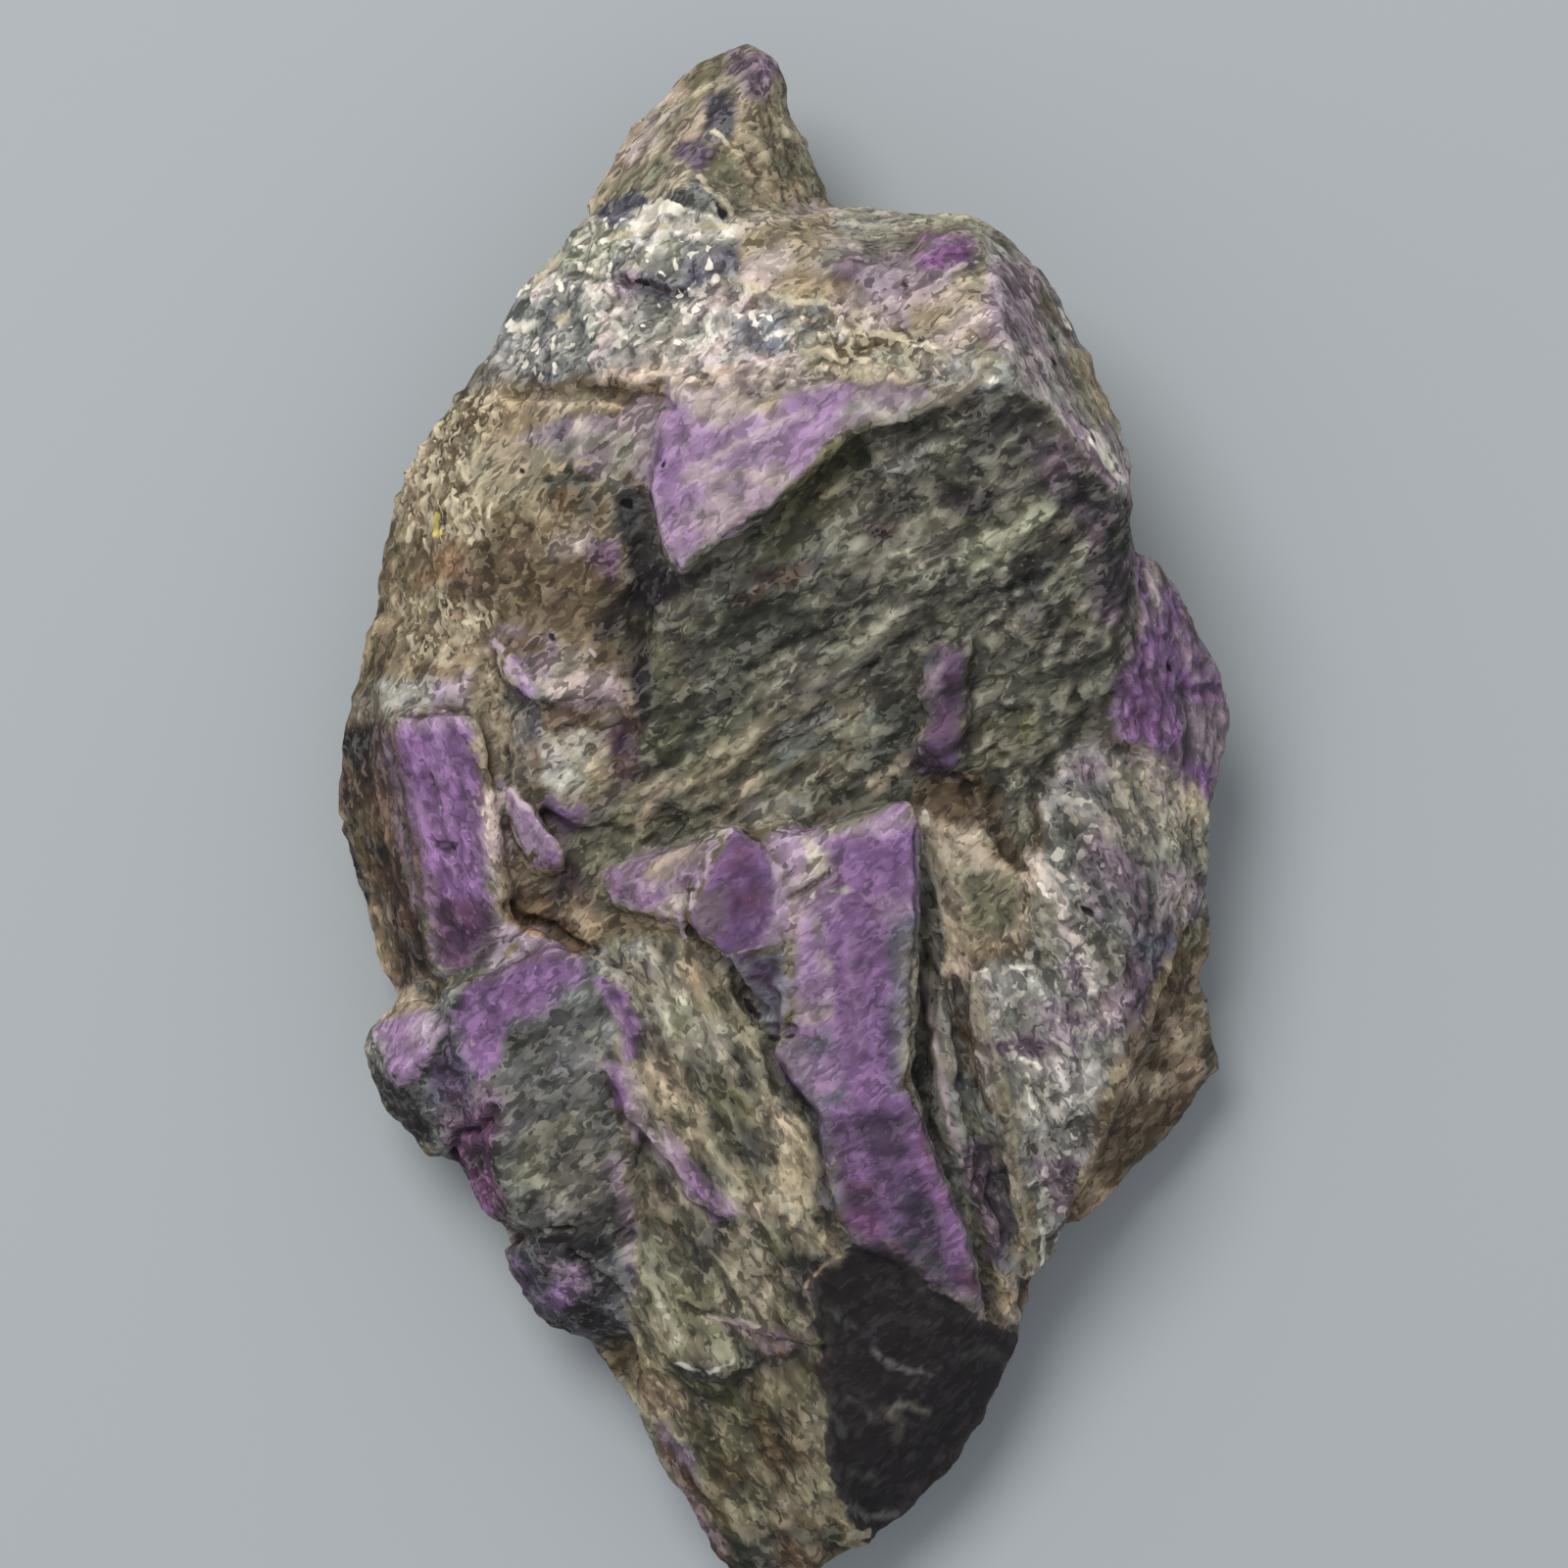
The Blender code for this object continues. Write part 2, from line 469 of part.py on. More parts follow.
def stone_material():
    material = bpy.data.materials.new("purpurite")
    material.use_nodes = True
    shader = material.node_tree.nodes["Principled BSDF"]
    shader.inputs["Base Color"].default_value = STONE_COLOUR
    shader.inputs["Roughness"].default_value = STONE_ROUGHNESS
    shader.inputs["Metallic"].default_value = 0.0
    return material


def build_stone():
    obj = bpy.data.objects.new(STONE_NAME, heap_of_blocks())
    collection = bpy.data.collections.new(COLLECTION_NAME)
    bpy.context.scene.collection.children.link(collection)
    collection.objects.link(obj)
    fuse(obj)
    weather(obj)
    thin_out(obj)
    cut_resting_face(obj)
    centre_and_scale(obj)
    obj.data.name = STONE_NAME
    obj.data.materials.clear()
    obj.data.materials.append(stone_material())


clear_scene()
build_stone()
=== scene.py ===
"""Looks of the purpurite specimen: one lump of phosphate ore lying on a pale table.

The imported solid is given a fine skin: an even mesh, then grain, cracks and raised plates,
then colours that are painted onto its points and broken up by the material's own noise.
Places on the lump are read in a square view from above, 1600 pixels wide. The tables write
an outline or a line as its places, each as "across,down".
"""

import itertools
import math

import bpy
import numpy as np
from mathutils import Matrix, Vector


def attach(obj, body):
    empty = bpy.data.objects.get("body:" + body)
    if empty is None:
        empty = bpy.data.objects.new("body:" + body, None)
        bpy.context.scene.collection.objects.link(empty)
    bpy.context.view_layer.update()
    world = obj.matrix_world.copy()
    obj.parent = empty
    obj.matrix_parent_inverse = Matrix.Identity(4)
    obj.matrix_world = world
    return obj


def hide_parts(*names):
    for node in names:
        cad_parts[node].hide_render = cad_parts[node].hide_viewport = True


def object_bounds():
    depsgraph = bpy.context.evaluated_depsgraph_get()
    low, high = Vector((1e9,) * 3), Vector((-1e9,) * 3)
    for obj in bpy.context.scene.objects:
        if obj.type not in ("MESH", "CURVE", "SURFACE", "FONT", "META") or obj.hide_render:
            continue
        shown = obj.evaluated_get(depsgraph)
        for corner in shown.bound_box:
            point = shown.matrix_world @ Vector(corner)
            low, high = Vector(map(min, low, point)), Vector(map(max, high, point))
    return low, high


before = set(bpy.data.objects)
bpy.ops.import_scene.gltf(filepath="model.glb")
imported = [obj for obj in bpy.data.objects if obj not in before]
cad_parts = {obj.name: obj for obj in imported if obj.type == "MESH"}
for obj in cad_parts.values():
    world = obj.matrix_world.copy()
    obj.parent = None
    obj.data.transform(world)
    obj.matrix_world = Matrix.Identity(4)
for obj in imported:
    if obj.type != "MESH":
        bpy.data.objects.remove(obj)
CAD_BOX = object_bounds()

NODE = "purpurite_stone"
MM = 0.001

# The view from above, in pixels, and its size and place in millimetres
VIEW_MIDDLE = 800
VIEW_SIDE = 1600
STONE_PIXELS = 918
STONE_WIDTH = 36.7
PIXEL = STONE_WIDTH / STONE_PIXELS
EYE_HEIGHT = 260.0
MIDDLE_HEIGHT = 10.0
VIEW_SHIFT = (0.061, 1.596)
FILM = 36.0

# The camera, the floor, the lamp and the sky. Lengths are in metres
NEAREST = 0.005
FLOOR_HALF = 1.5
FLOOR_ROUGHNESS = 0.9
KEY_PLACE = (-0.16, 0.26, 0.48)
KEY_TARGET = (0.0, 0.0, 0.01)
KEY_SIZE = 0.30
KEY_WATTS = 2.3
KEY_COLOUR = (1.0, 0.98, 0.95)
SKY_COLOUR = (0.93, 0.96, 1.0, 1.0)
SKY_STRENGTH = 0.50

# The fine skin, in millimetres. Its resting flat stays flat, and a little room is left on top
SKIN_CELL = 0.14
SKIN_TRIANGLES = 192000
SKIN_SMOOTHINGS = 5
WAY_SMOOTHINGS = 4
SMOOTHING_SHARE = 0.6
SPARE_TILT = -0.15
SPARE_FACTOR = 0.002
FLAT_HEIGHT = 0.06
TOP_ROOM = 0.2

# What is carved into the skin: how high it rises and how long its waves are, in millimetres
SWELL_RISE, SWELL_WAVE = 0.08, 2.1
KNOB_RISE, KNOB_WAVE = 0.07, 1.5
GRIT_RISE, GRIT_WAVE = 0.05, 0.6
PLAIN_SWELL_RISE, PLAIN_SWELL_WAVE = 0.10, 1.9
PLAIN_KNOB_RISE, PLAIN_KNOB_WAVE = 0.09, 1.2
MICA_RISE, MICA_WAVE = 0.30, 1.1
CRUST_RISE, CRUST_WAVE = 0.12, 0.8
PATCH_RISE = 0.07
STREAK_DEPTH = 0.14

# Shares and factors of the carving
STREAK_STRETCH = 5.0
STREAK_WAVE = 1.5
STREAK_GAIN = 1.6
GRAIN_SINK = 0.2
LUMP_GAIN = 2.6
LUMP_SINK = 0.5
LEDGES = 4
LEDGE_FLAT = 0.70

# Where the carving fades out: by how far the skin faces up, and by its height in millimetres
CARVED_TILTS = (-0.05, 0.3)
CARVED_HEIGHTS = (0.1, 1.2)

# Widths of soft edges in pixels, and of soft lines in half widths
STREAK_FADE = 12
AREA_FADE = 8
CROSS_FADE = 10
PATCH_SLOPE = (-3, 5)
PATCH_MARGIN = 12.0
LINE_CORE = 0.3
CRACK_REACH = 1.4
STROKE_REACH = 1.5

# How noise moves places about: waves in millimetres, distances in pixels
RELIEF_DRIFT_WAVE = 1.6
RELIEF_DRIFT = 6
SLOW_WAVE = 1.4
QUICK_WAVE = 0.45
BROAD_WAVE = 2.6
LOOSE_DRIFT = 7
CLOSE_DRIFT = 4
QUICK_DRIFT = 3
BROAD_DRIFT = 12

# Painting: slow drifts of the host rock's colour, and purple spots where the view doesn't reach
LIGHT_WAVE, LIGHT_DRIFT = 2.2, 0.22
WARMTH_WAVE, WARMTH_DRIFT = 3.4, 0.06
BLOOM_WAVE, BLOOM_DRIFT = 2.8, 0.05
RED_BLOOM = 0.6
SPOT_WAVE = 7.0
SPOT_GAIN = 2.0
SPOT_SINK = 0.5
PAINTED_TILTS = (-0.15, 0.15)
PATCH_SEEN = 0.5
VEIN_SEEN = 0.3
TILT_SMOOTHINGS = 6
HOLLOW_SMOOTHINGS = 10

# The stone's noises: waves for each millimetre, detail, roughness. A shake is in millimetres
COARSE = (0.60, 3.0, 0.55)
MEDIUM = (1.25, 2.0)
CLUMP = (2.2, 1.5)
GRIT = (7.0, 1.0)
SHAKE_SCALE = 2.5
FLECK_SCALE, FLECK_SHAKE = 4.0, 0.9
FLAKE_SCALE, FLAKE_SHAKE = 3.2, 0.35
CRUMB_SCALE = 3.1

# Steps of the stone's material: where each begins and ends, then its value before and after
STEPS = {
    "mottle": (0.37, 0.63),
    "solid": (-0.07, 0.07),
    "dust depth": (0.60, 0.0),
    "dust share": (0.40, 0.90, 0.10, 0.60),
    "solid contrast": (0.0, 1.0, 1.0, 0.8),
    "pale": (0.52, 0.60, 0.0, 0.9),
    "dark": (0.38, 0.46, 0.9, 0.0),
    "flake": (0.0, 1.0, 0.78, 1.22),
    "glint": (0.90, 0.93),
    "cream crumb": (0.50, 0.66, 0.0, 0.8),
    "brown crumb": (0.28, 0.18, 0.0, 0.8),
    "vein": (-0.05, 0.05),
    # painted shade, partly also dirt, in hollows, and lighter wear on raised points
    "shade_and_wear": (-0.10, 0.10, 1.25, 0.60),
    "fine": (0.30, 0.70, 0.95, 1.05),
    "roughness": (0.0, 1.0, 0.78, 0.50),
}

# Shares and factors of the stone's material
JITTER = 0.7
DUST_JITTER = 1.5
VEIN_JITTER = 0.35
MEDIUM_SHARE = 0.35
CHANCE_SHARE = 0.33
FLAT_SHARE = 0.85
STREAK_TONE = 0.09
PALER = 1.65
DARKER = 0.5
TINT_SHARE = 0.15
MEDIUM_HEIGHT = 0.8
FLAKE_HEIGHT = 0.5
BUMP_STRENGTH = 0.5
BUMP_DISTANCE = 0.00022
STONE_SPECULAR = 0.35

# Colours as bytes of red, green and blue
COLOURS = {
    # nearly black
    "black": (25, 20, 22),
    "coal": (31, 22, 29),
    "night": (52, 50, 47),
    "ink": (64, 63, 70),
    # browns
    "peat": (64, 53, 42),
    "bark": (84, 70, 48),
    "umber": (80, 58, 44),
    "brown": (98, 82, 65),
    "rust": (126, 96, 68),
    "ochre": (152, 127, 86),
    "tan": (142, 126, 101),
    "sand": (160, 144, 120),
    "beige": (174, 158, 138),
    "cream": (200, 188, 160),
    "ivory": (226, 219, 204),
    "yellow": (206, 186, 110),
    # olives and greys
    "forest": (58, 58, 48),
    "face": (104, 100, 87),
    "moss": (84, 82, 56),
    "olive": (110, 104, 83),
    "reed": (132, 126, 104),
    "sage": (154, 151, 132),
    "teal": (94, 103, 99),
    "slate": (102, 102, 100),
    "steel": (88, 84, 97),
    "stone": (122, 116, 106),
    "silver": (144, 142, 135),
    "fog": (168, 164, 154),
    "blue_grey": (130, 132, 141),
    # pinks and mauves of the host rock
    "plum": (98, 82, 94),
    "mauve": (122, 108, 116),
    "rose": (148, 132, 136),
    "blush": (172, 158, 150),
    "petal": (192, 176, 170),
    # the purple mineral
    "grape": (70, 54, 75),
    "wine": (92, 60, 86),
    "violet": (106, 78, 116),
    "purple": (126, 92, 135),
    "magenta": (112, 66, 112),
    "orchid": (142, 114, 147),
    "lilac": (152, 128, 154),
    "mist": (174, 155, 169),
    # the table
    "pebble": (170, 176, 180),
}

# Soft areas of the host rock: outline, colour, the colour that it is mottled with, softness in pixels
HOST_AREAS = (
    # the big dark face
    ("640,600 690,570 790,510 850,440 1040,396 1100,440 1160,520 1165,640 1130,770 1060,800 1045,890 "
     "980,800 930,820 740,850 600,900 590,860 630,780", "face", "forest", 5),
    ("820,452 860,440 878,470 850,510 815,545 790,540 800,500", "olive", "moss", 12),
    # painted shade just below the ledge
    ("960,424 1040,402 1090,440 1060,520 1000,505 940,455", "night", "face", 14),
    ("740,615 780,584 846,566 834,590 790,606 760,620", "ink", "umber", 8),
    ("955,515 975,495 1015,495 1018,515 980,526", "coal", "black", 8),
    ("874,548 886,532 910,536 896,552", "coal", "umber", 6),
    ("1040,440 1085,436 1130,500 1155,560 1160,640 1120,640 1096,540", "plum", "night", 14),
    ("800,738 880,725 905,760 850,800 790,805 770,780", "reed", "teal", 12),
    ("640,800 700,740 780,740 800,780 760,830 690,850 610,880", "reed", "forest", 14),
    ("620,884 700,852 745,838 766,808 790,790 830,812 800,850 750,846", "fog", "reed", 6),
    ("990,700 1040,690 1060,760 1030,800 990,780", "face", "moss", 14),
    # the horn
    ("775,45 795,80 806,105 836,165 864,218 800,222 742,220 720,178 735,140 762,90", "sand", "olive", 6),
    ("745,45 700,70 645,120 615,170 590,212 660,208 700,182 725,140 760,90 768,60", "beige", "olive", 6),
    ("700,72 745,48 768,46 760,62 720,82 690,98", "olive", "bark", 5),
    ("750,44 782,46 796,70 792,92 772,112 755,94 744,66", "mauve", "plum", 6),
    ("718,100 746,98 750,130 734,142 720,126", "ink", "plum", 5),
    ("700,144 722,138 730,156 716,168 702,162", "plum", "grape", 4),
    ("680,194 695,182 712,177 728,194 736,212 714,216 694,210", "slate", "night", 3),
    ("803,200 846,200 866,222 810,226", "petal", "beige", 6),
    ("600,190 625,178 670,182 660,198 610,208", "tan", "reed", 6),
    # the shoulder right of the horn
    ("742,216 800,210 862,214 884,250 866,300 840,330 770,300 748,270", "blush", "tan", 8),
    ("850,226 880,200 1000,212 1012,240 1000,262 930,246 860,244", "sage", "silver", 7),
    ("900,226 1000,224 1010,262 940,250", "stone", "olive", 8),
    ("836,258 900,258 906,290 850,286", "stone", "bark", 6),
    ("868,264 946,258 976,282 950,312 890,312", "rose", "mauve", 7),
    ("850,306 950,304 950,340 868,336", "blush", "rose", 6),
    ("1000,262 1014,276 1020,304 1006,332 992,358 958,352 934,340 930,312 960,286", "blush", "sand", 4),
    ("1000,262 1016,276 1018,310 1000,320 986,290", "sand", "reed", 5),
    # the glittering band
    ("553,262 590,220 640,206 745,210 758,288 700,296 620,292 536,302", "sage", "slate", 5),
    ("630,240 664,202 694,208 748,222 748,240 700,246 650,250", "ivory", "silver", 5),
    ("604,224 618,207 640,202 664,196 662,208 640,224 618,234", "steel", "ink", 3),
    ("690,244 750,244 754,284 696,288", "slate", "steel", 7),
    ("540,286 620,288 760,290 850,316 862,350 800,380 690,384 600,386 520,384 498,360",
     "petal", "silver", 6),
    ("500,366 524,306 600,290 612,330 600,384 520,388", "silver", "slate", 8),
    ("740,318 796,318 796,362 744,364", "blue_grey", "silver", 7),
    ("620,278 700,282 700,302 630,298", "mauve", "ink", 4),
    ("796,330 860,326 880,348 820,364", "slate", "sand", 5),
    ("790,306 850,318 850,334 790,326", "olive", "slate", 5),
    ("600,378 1000,370 1010,384 900,392 760,392 620,394", "blush", "beige", 4),
    ("880,362 1004,352 1024,384 940,392", "sage", "silver", 7),
    ("996,352 1036,356 1040,400 1000,408 990,384", "silver", "reed", 5),
    # the right slope
    ("1010,236 1024,250 1064,276 1084,295 1112,355 1142,430 1156,470 1160,520 1130,490 1075,424 1036,392 "
     "1014,352 1018,300", "silver", "rose", 5),
    ("1012,262 1050,262 1074,292 1076,330 1050,356 1022,340 1004,350", "rose", "mauve", 7),
    ("1050,280 1084,296 1112,356 1100,350 1070,320", "slate", "brown", 6),
    ("1092,356 1114,360 1140,434 1124,436 1100,400", "tan", "reed", 7),
    ("1076,408 1110,424 1140,480 1120,476", "mauve", "mauve", 7),
    # the left bulge
    ("480,400 600,384 690,394 664,500 640,560 640,700 500,650 350,700 370,600 390,500", "tan", "bark", 6),
    ("500,398 620,396 640,412 560,424 500,420", "tan", "sand", 6),
    ("560,428 640,420 640,440 560,462 520,452", "blush", "mauve", 6),
    ("480,440 556,450 560,500 500,520 470,480", "sand", "reed", 9),
    ("560,462 590,445 646,434 650,474 622,492 580,482", "mauve", "stone", 5),
    ("636,416 652,403 682,410 674,450 664,504 644,492", "mauve", "rose", 5),
    ("556,490 580,482 606,492 600,516 564,522", "forest", "night", 5),
    ("556,508 610,506 622,534 580,540", "bark", "forest", 6),
    # painted shade in the valley left of the lilac plate's tip
    ("618,494 652,510 668,542 680,584 652,606 640,562 624,530", "night", "slate", 10),
    ("562,552 604,536 610,552 590,576 568,570", "blush", "beige", 5),
    ("602,548 630,546 634,592 618,608 604,580", "plum", "wine", 5),
    ("470,574 600,568 630,610 600,630 500,626 462,600", "bark", "brown", 9),
    ("540,596 620,592 620,640 540,634", "brown", "bark", 8),
    ("420,560 470,556 476,590 430,596", "rust", "brown", 8),
    ("380,600 460,610 500,650 490,690 400,690 362,680", "tan", "bark", 9),
    ("384,700 420,688 456,690 466,706 440,724 408,726", "fog", "stone", 7),
    ("446,696 484,694 486,724 450,722", "mist", "rose", 6),
    # the valley, painted dark as shade
    ("640,596 676,576 694,590 672,640 660,720 640,760 626,712 630,650", "coal", "black", 6),
    ("600,640 640,600 652,640 640,700 618,670", "peat", "coal", 7),
    # the left slope
    ("336,740 404,736 412,800 430,880 440,990 420,1020 380,1000 350,900 332,800", "umber", "black", 7),
    ("390,742 408,740 428,860 440,930 424,930 404,850 390,800", "plum", "umber", 6),
    ("340,830 352,840 380,930 412,1000 404,1018 380,1000 350,900", "tan", "bark", 6),
    ("486,664 520,670 520,740 516,810 498,820 488,740", "beige", "sand", 5),
    ("496,806 516,812 526,860 518,900 500,880", "petal", "blush", 4),
    ("500,868 548,880 560,910 520,910", "tan", "sand", 5),
    # the nub
    ("508,644 640,650 648,790 600,860 560,850 524,800 510,700", "stone", "brown", 5),
    ("510,640 560,640 566,682 536,690 514,660", "mauve", "brown", 5),
    ("546,690 626,684 632,716 560,722", "blush", "rose", 4),
    ("516,706 540,716 544,760 520,770", "stone", "ink", 5),
    ("566,724 610,720 612,742 576,748", "bark", "brown", 4),
    ("542,746 600,740 612,770 604,800 560,806 540,780", "fog", "sage", 5),
    ("540,764 580,762 584,800 556,806", "fog", "silver", 6),
    ("600,750 622,752 618,810 596,812", "sage", "sand", 5),
    ("620,736 652,732 652,790 628,800", "grape", "umber", 5),
    ("555,884 592,880 592,920 566,916", "plum", "bark", 6),
    ("590,860 620,850 630,900 600,920", "olive", "face", 7),
    ("514,938 522,932 560,946 578,960 540,972 500,996 496,980", "mist", "rose", 3),
    ("506,906 550,920 594,950 612,978 590,976 560,952 520,932", "brown", "rust", 3),
    ("580,930 680,934 716,960 640,966 606,964", "tan", "brown", 6),
    # the lower left block
    ("376,1060 400,1020 600,970 660,1050 640,1100 680,1200 660,1290 600,1290 500,1240 400,1140",
     "slate", "night", 5),
    ("520,1120 600,1100 640,1180 600,1240 530,1200", "face", "ink", 12),
    ("376,1012 404,1008 440,1020 420,1034 392,1040", "beige", "sand", 4),
    ("438,1076 466,1052 484,1096 474,1136 430,1124", "steel", "grape", 5),
    ("374,1084 408,1104 436,1130 440,1180 410,1160 384,1120", "night", "black", 5),
    ("450,1110 500,1106 510,1130 480,1164 452,1152", "plum", "violet", 6),
    ("452,1164 500,1128 512,1150 502,1190 520,1246 500,1256 470,1216", "wine", "coal", 5),
    ("484,1196 504,1196 514,1240 496,1240", "magenta", "wine", 4),
    ("502,1270 560,1264 590,1254 642,1290 668,1310 656,1348 620,1366 560,1360 520,1310",
     "ink", "black", 5),
    ("500,1296 544,1290 550,1340 530,1340", "grape", "coal", 6),
    ("508,1270 536,1270 534,1292 514,1296", "plum", "ink", 5),
    ("568,1292 600,1292 600,1324 574,1326", "orchid", "steel", 6),
    ("638,1284 670,1294 664,1340 640,1336", "grape", "plum", 5),
    ("622,1180 650,1180 664,1290 640,1290", "mauve", "plum", 6),
    # the olive face
    ("622,960 700,955 780,1050 832,1132 858,1280 832,1304 842,1374 850,1500 900,1580 850,1650 740,1650 "
     "640,1430 650,1300 660,1180 622,1080", "reed", "night", 6),
    ("606,972 660,960 692,990 650,1012 612,1002", "silver", "slate", 5),
    ("640,990 700,1010 746,1050 744,1096 700,1082 656,1050", "sage", "stone", 10),
    ("700,960 740,1000 756,1050 720,1040 680,990", "reed", "tan", 9),
    ("650,1076 700,1096 724,1164 700,1180 664,1140", "sand", "olive", 9),
    ("712,1086 742,1090 768,1152 748,1176 720,1140", "moss", "night", 7),
    ("784,1136 814,1134 824,1178 800,1182 782,1160", "cream", "sand", 4),
    ("740,1180 820,1190 856,1280 800,1290 750,1250", "sand", "forest", 12),
    ("760,1252 796,1254 796,1280 766,1278", "sage", "moss", 5),
    ("640,1090 700,1200 690,1270 650,1250 640,1180", "face", "bark", 6),
    ("650,1210 676,1210 690,1300 666,1320", "face", "olive", 6),
    ("650,1310 740,1310 760,1380 700,1400 650,1390", "olive", "olive", 10),
    ("690,1400 840,1390 850,1500 890,1570 850,1650 740,1650 700,1500", "olive", "bark", 12),
    ("680,1400 760,1396 760,1440 700,1440", "moss", "night", 8),
    ("720,1560 860,1550 850,1650 740,1650", "brown", "forest", 10),
    ("736,1348 800,1350 830,1372 790,1378 750,1366", "mauve", "bark", 5),
    ("640,1370 664,1380 690,1440 672,1450 644,1410", "tan", "bark", 5),
    ("670,1440 702,1480 722,1540 744,1590 726,1604 700,1540 678,1490", "plum", "umber", 5),
    ("860,1550 896,1560 890,1584 864,1582", "ochre", "olive", 5),
    # between the plates and behind them
    ("784,868 815,848 846,850 848,896 820,912 812,960 800,962 796,890", "lilac", "rose", 4),
    ("816,858 832,870 844,890 826,898 814,880", "petal", "blush", 3),
    ("930,800 985,786 1046,886 1062,932 1040,990 985,1000 945,1000 934,900", "beige", "brown", 6),
    ("940,780 980,790 1000,840 960,840 936,820", "brown", "bark", 7),
    ("980,890 1030,884 1038,950 990,956", "olive", "olive", 7),
    ("1030,870 1062,870 1066,910 1040,910", "rose", "sand", 6),
    ("984,964 1056,952 1064,986 990,988", "brown", "tan", 4),
    ("924,850 950,850 962,1000 1010,1150 1050,1300 1040,1360 1000,1320 970,1230 934,1130 924,1000",
     "face", "slate", 4),
    ("974,780 1000,800 1040,880 1056,820 1050,888 1020,884", "bark", "brown", 5),
    ("984,1166 1006,1164 1034,1260 1040,1310 1010,1290", "plum", "ink", 4),
    ("1000,1290 1040,1300 1056,1350 1030,1356", "tan", "face", 5),
    # the mottled laths on the right
    ("1062,800 1080,752 1140,760 1200,780 1240,830 1244,940 1206,970 1160,1070 1130,1160 1100,1250 "
     "1070,1310 1030,1140 1000,990 1050,980 1060,880", "stone", "slate", 6),
    ("1074,760 1130,760 1124,800 1080,800", "silver", "mauve", 7),
    ("1130,776 1200,780 1228,820 1228,886 1170,872 1130,850", "sage", "stone", 8),
    ("1150,768 1192,774 1236,832 1204,842 1180,800", "cream", "blush", 6),
    ("1072,836 1124,836 1124,884 1080,880", "forest", "slate", 7),
    ("1108,876 1162,868 1184,930 1154,964 1116,940", "slate", "plum", 8),
    ("1180,896 1228,896 1226,950 1180,976", "blush", "mauve", 7),
    ("1150,950 1204,952 1214,972 1182,1002 1166,1044 1148,1030", "plum", "steel", 6),
    ("1040,985 1110,980 1150,1030 1120,1080 1060,1076 1010,1050 1000,1000", "silver", "mauve", 8),
    ("1008,1056 1076,1060 1072,1082 1028,1080", "plum", "plum", 5),
    ("1108,1006 1152,1008 1150,1062 1112,1062", "rose", "mauve", 6),
    ("1040,1084 1124,1088 1132,1140 1080,1184 1050,1150", "fog", "stone", 7),
    ("1078,1136 1134,1134 1124,1174 1086,1174", "stone", "slate", 6),
    ("1058,1180 1106,1180 1096,1240 1066,1236", "mauve", "plum", 6),
    # the rear layer
    ("1150,1070 1196,966 1240,920 1244,990 1226,1010 1252,1090 1200,1170 1096,1262 1088,1240 1110,1180",
     "tan", "bark", 5),
    ("1130,1116 1236,1100 1220,1150 1150,1200 1110,1200", "brown", "bark", 7),
    ("1190,1050 1216,1044 1228,1060 1206,1082 1188,1082", "sand", "tan", 4),
    ("1148,1106 1186,1094 1204,1100 1182,1128 1158,1122", "beige", "sand", 4),
    ("1196,946 1232,936 1232,980 1206,980", "olive", "bark", 5),
)

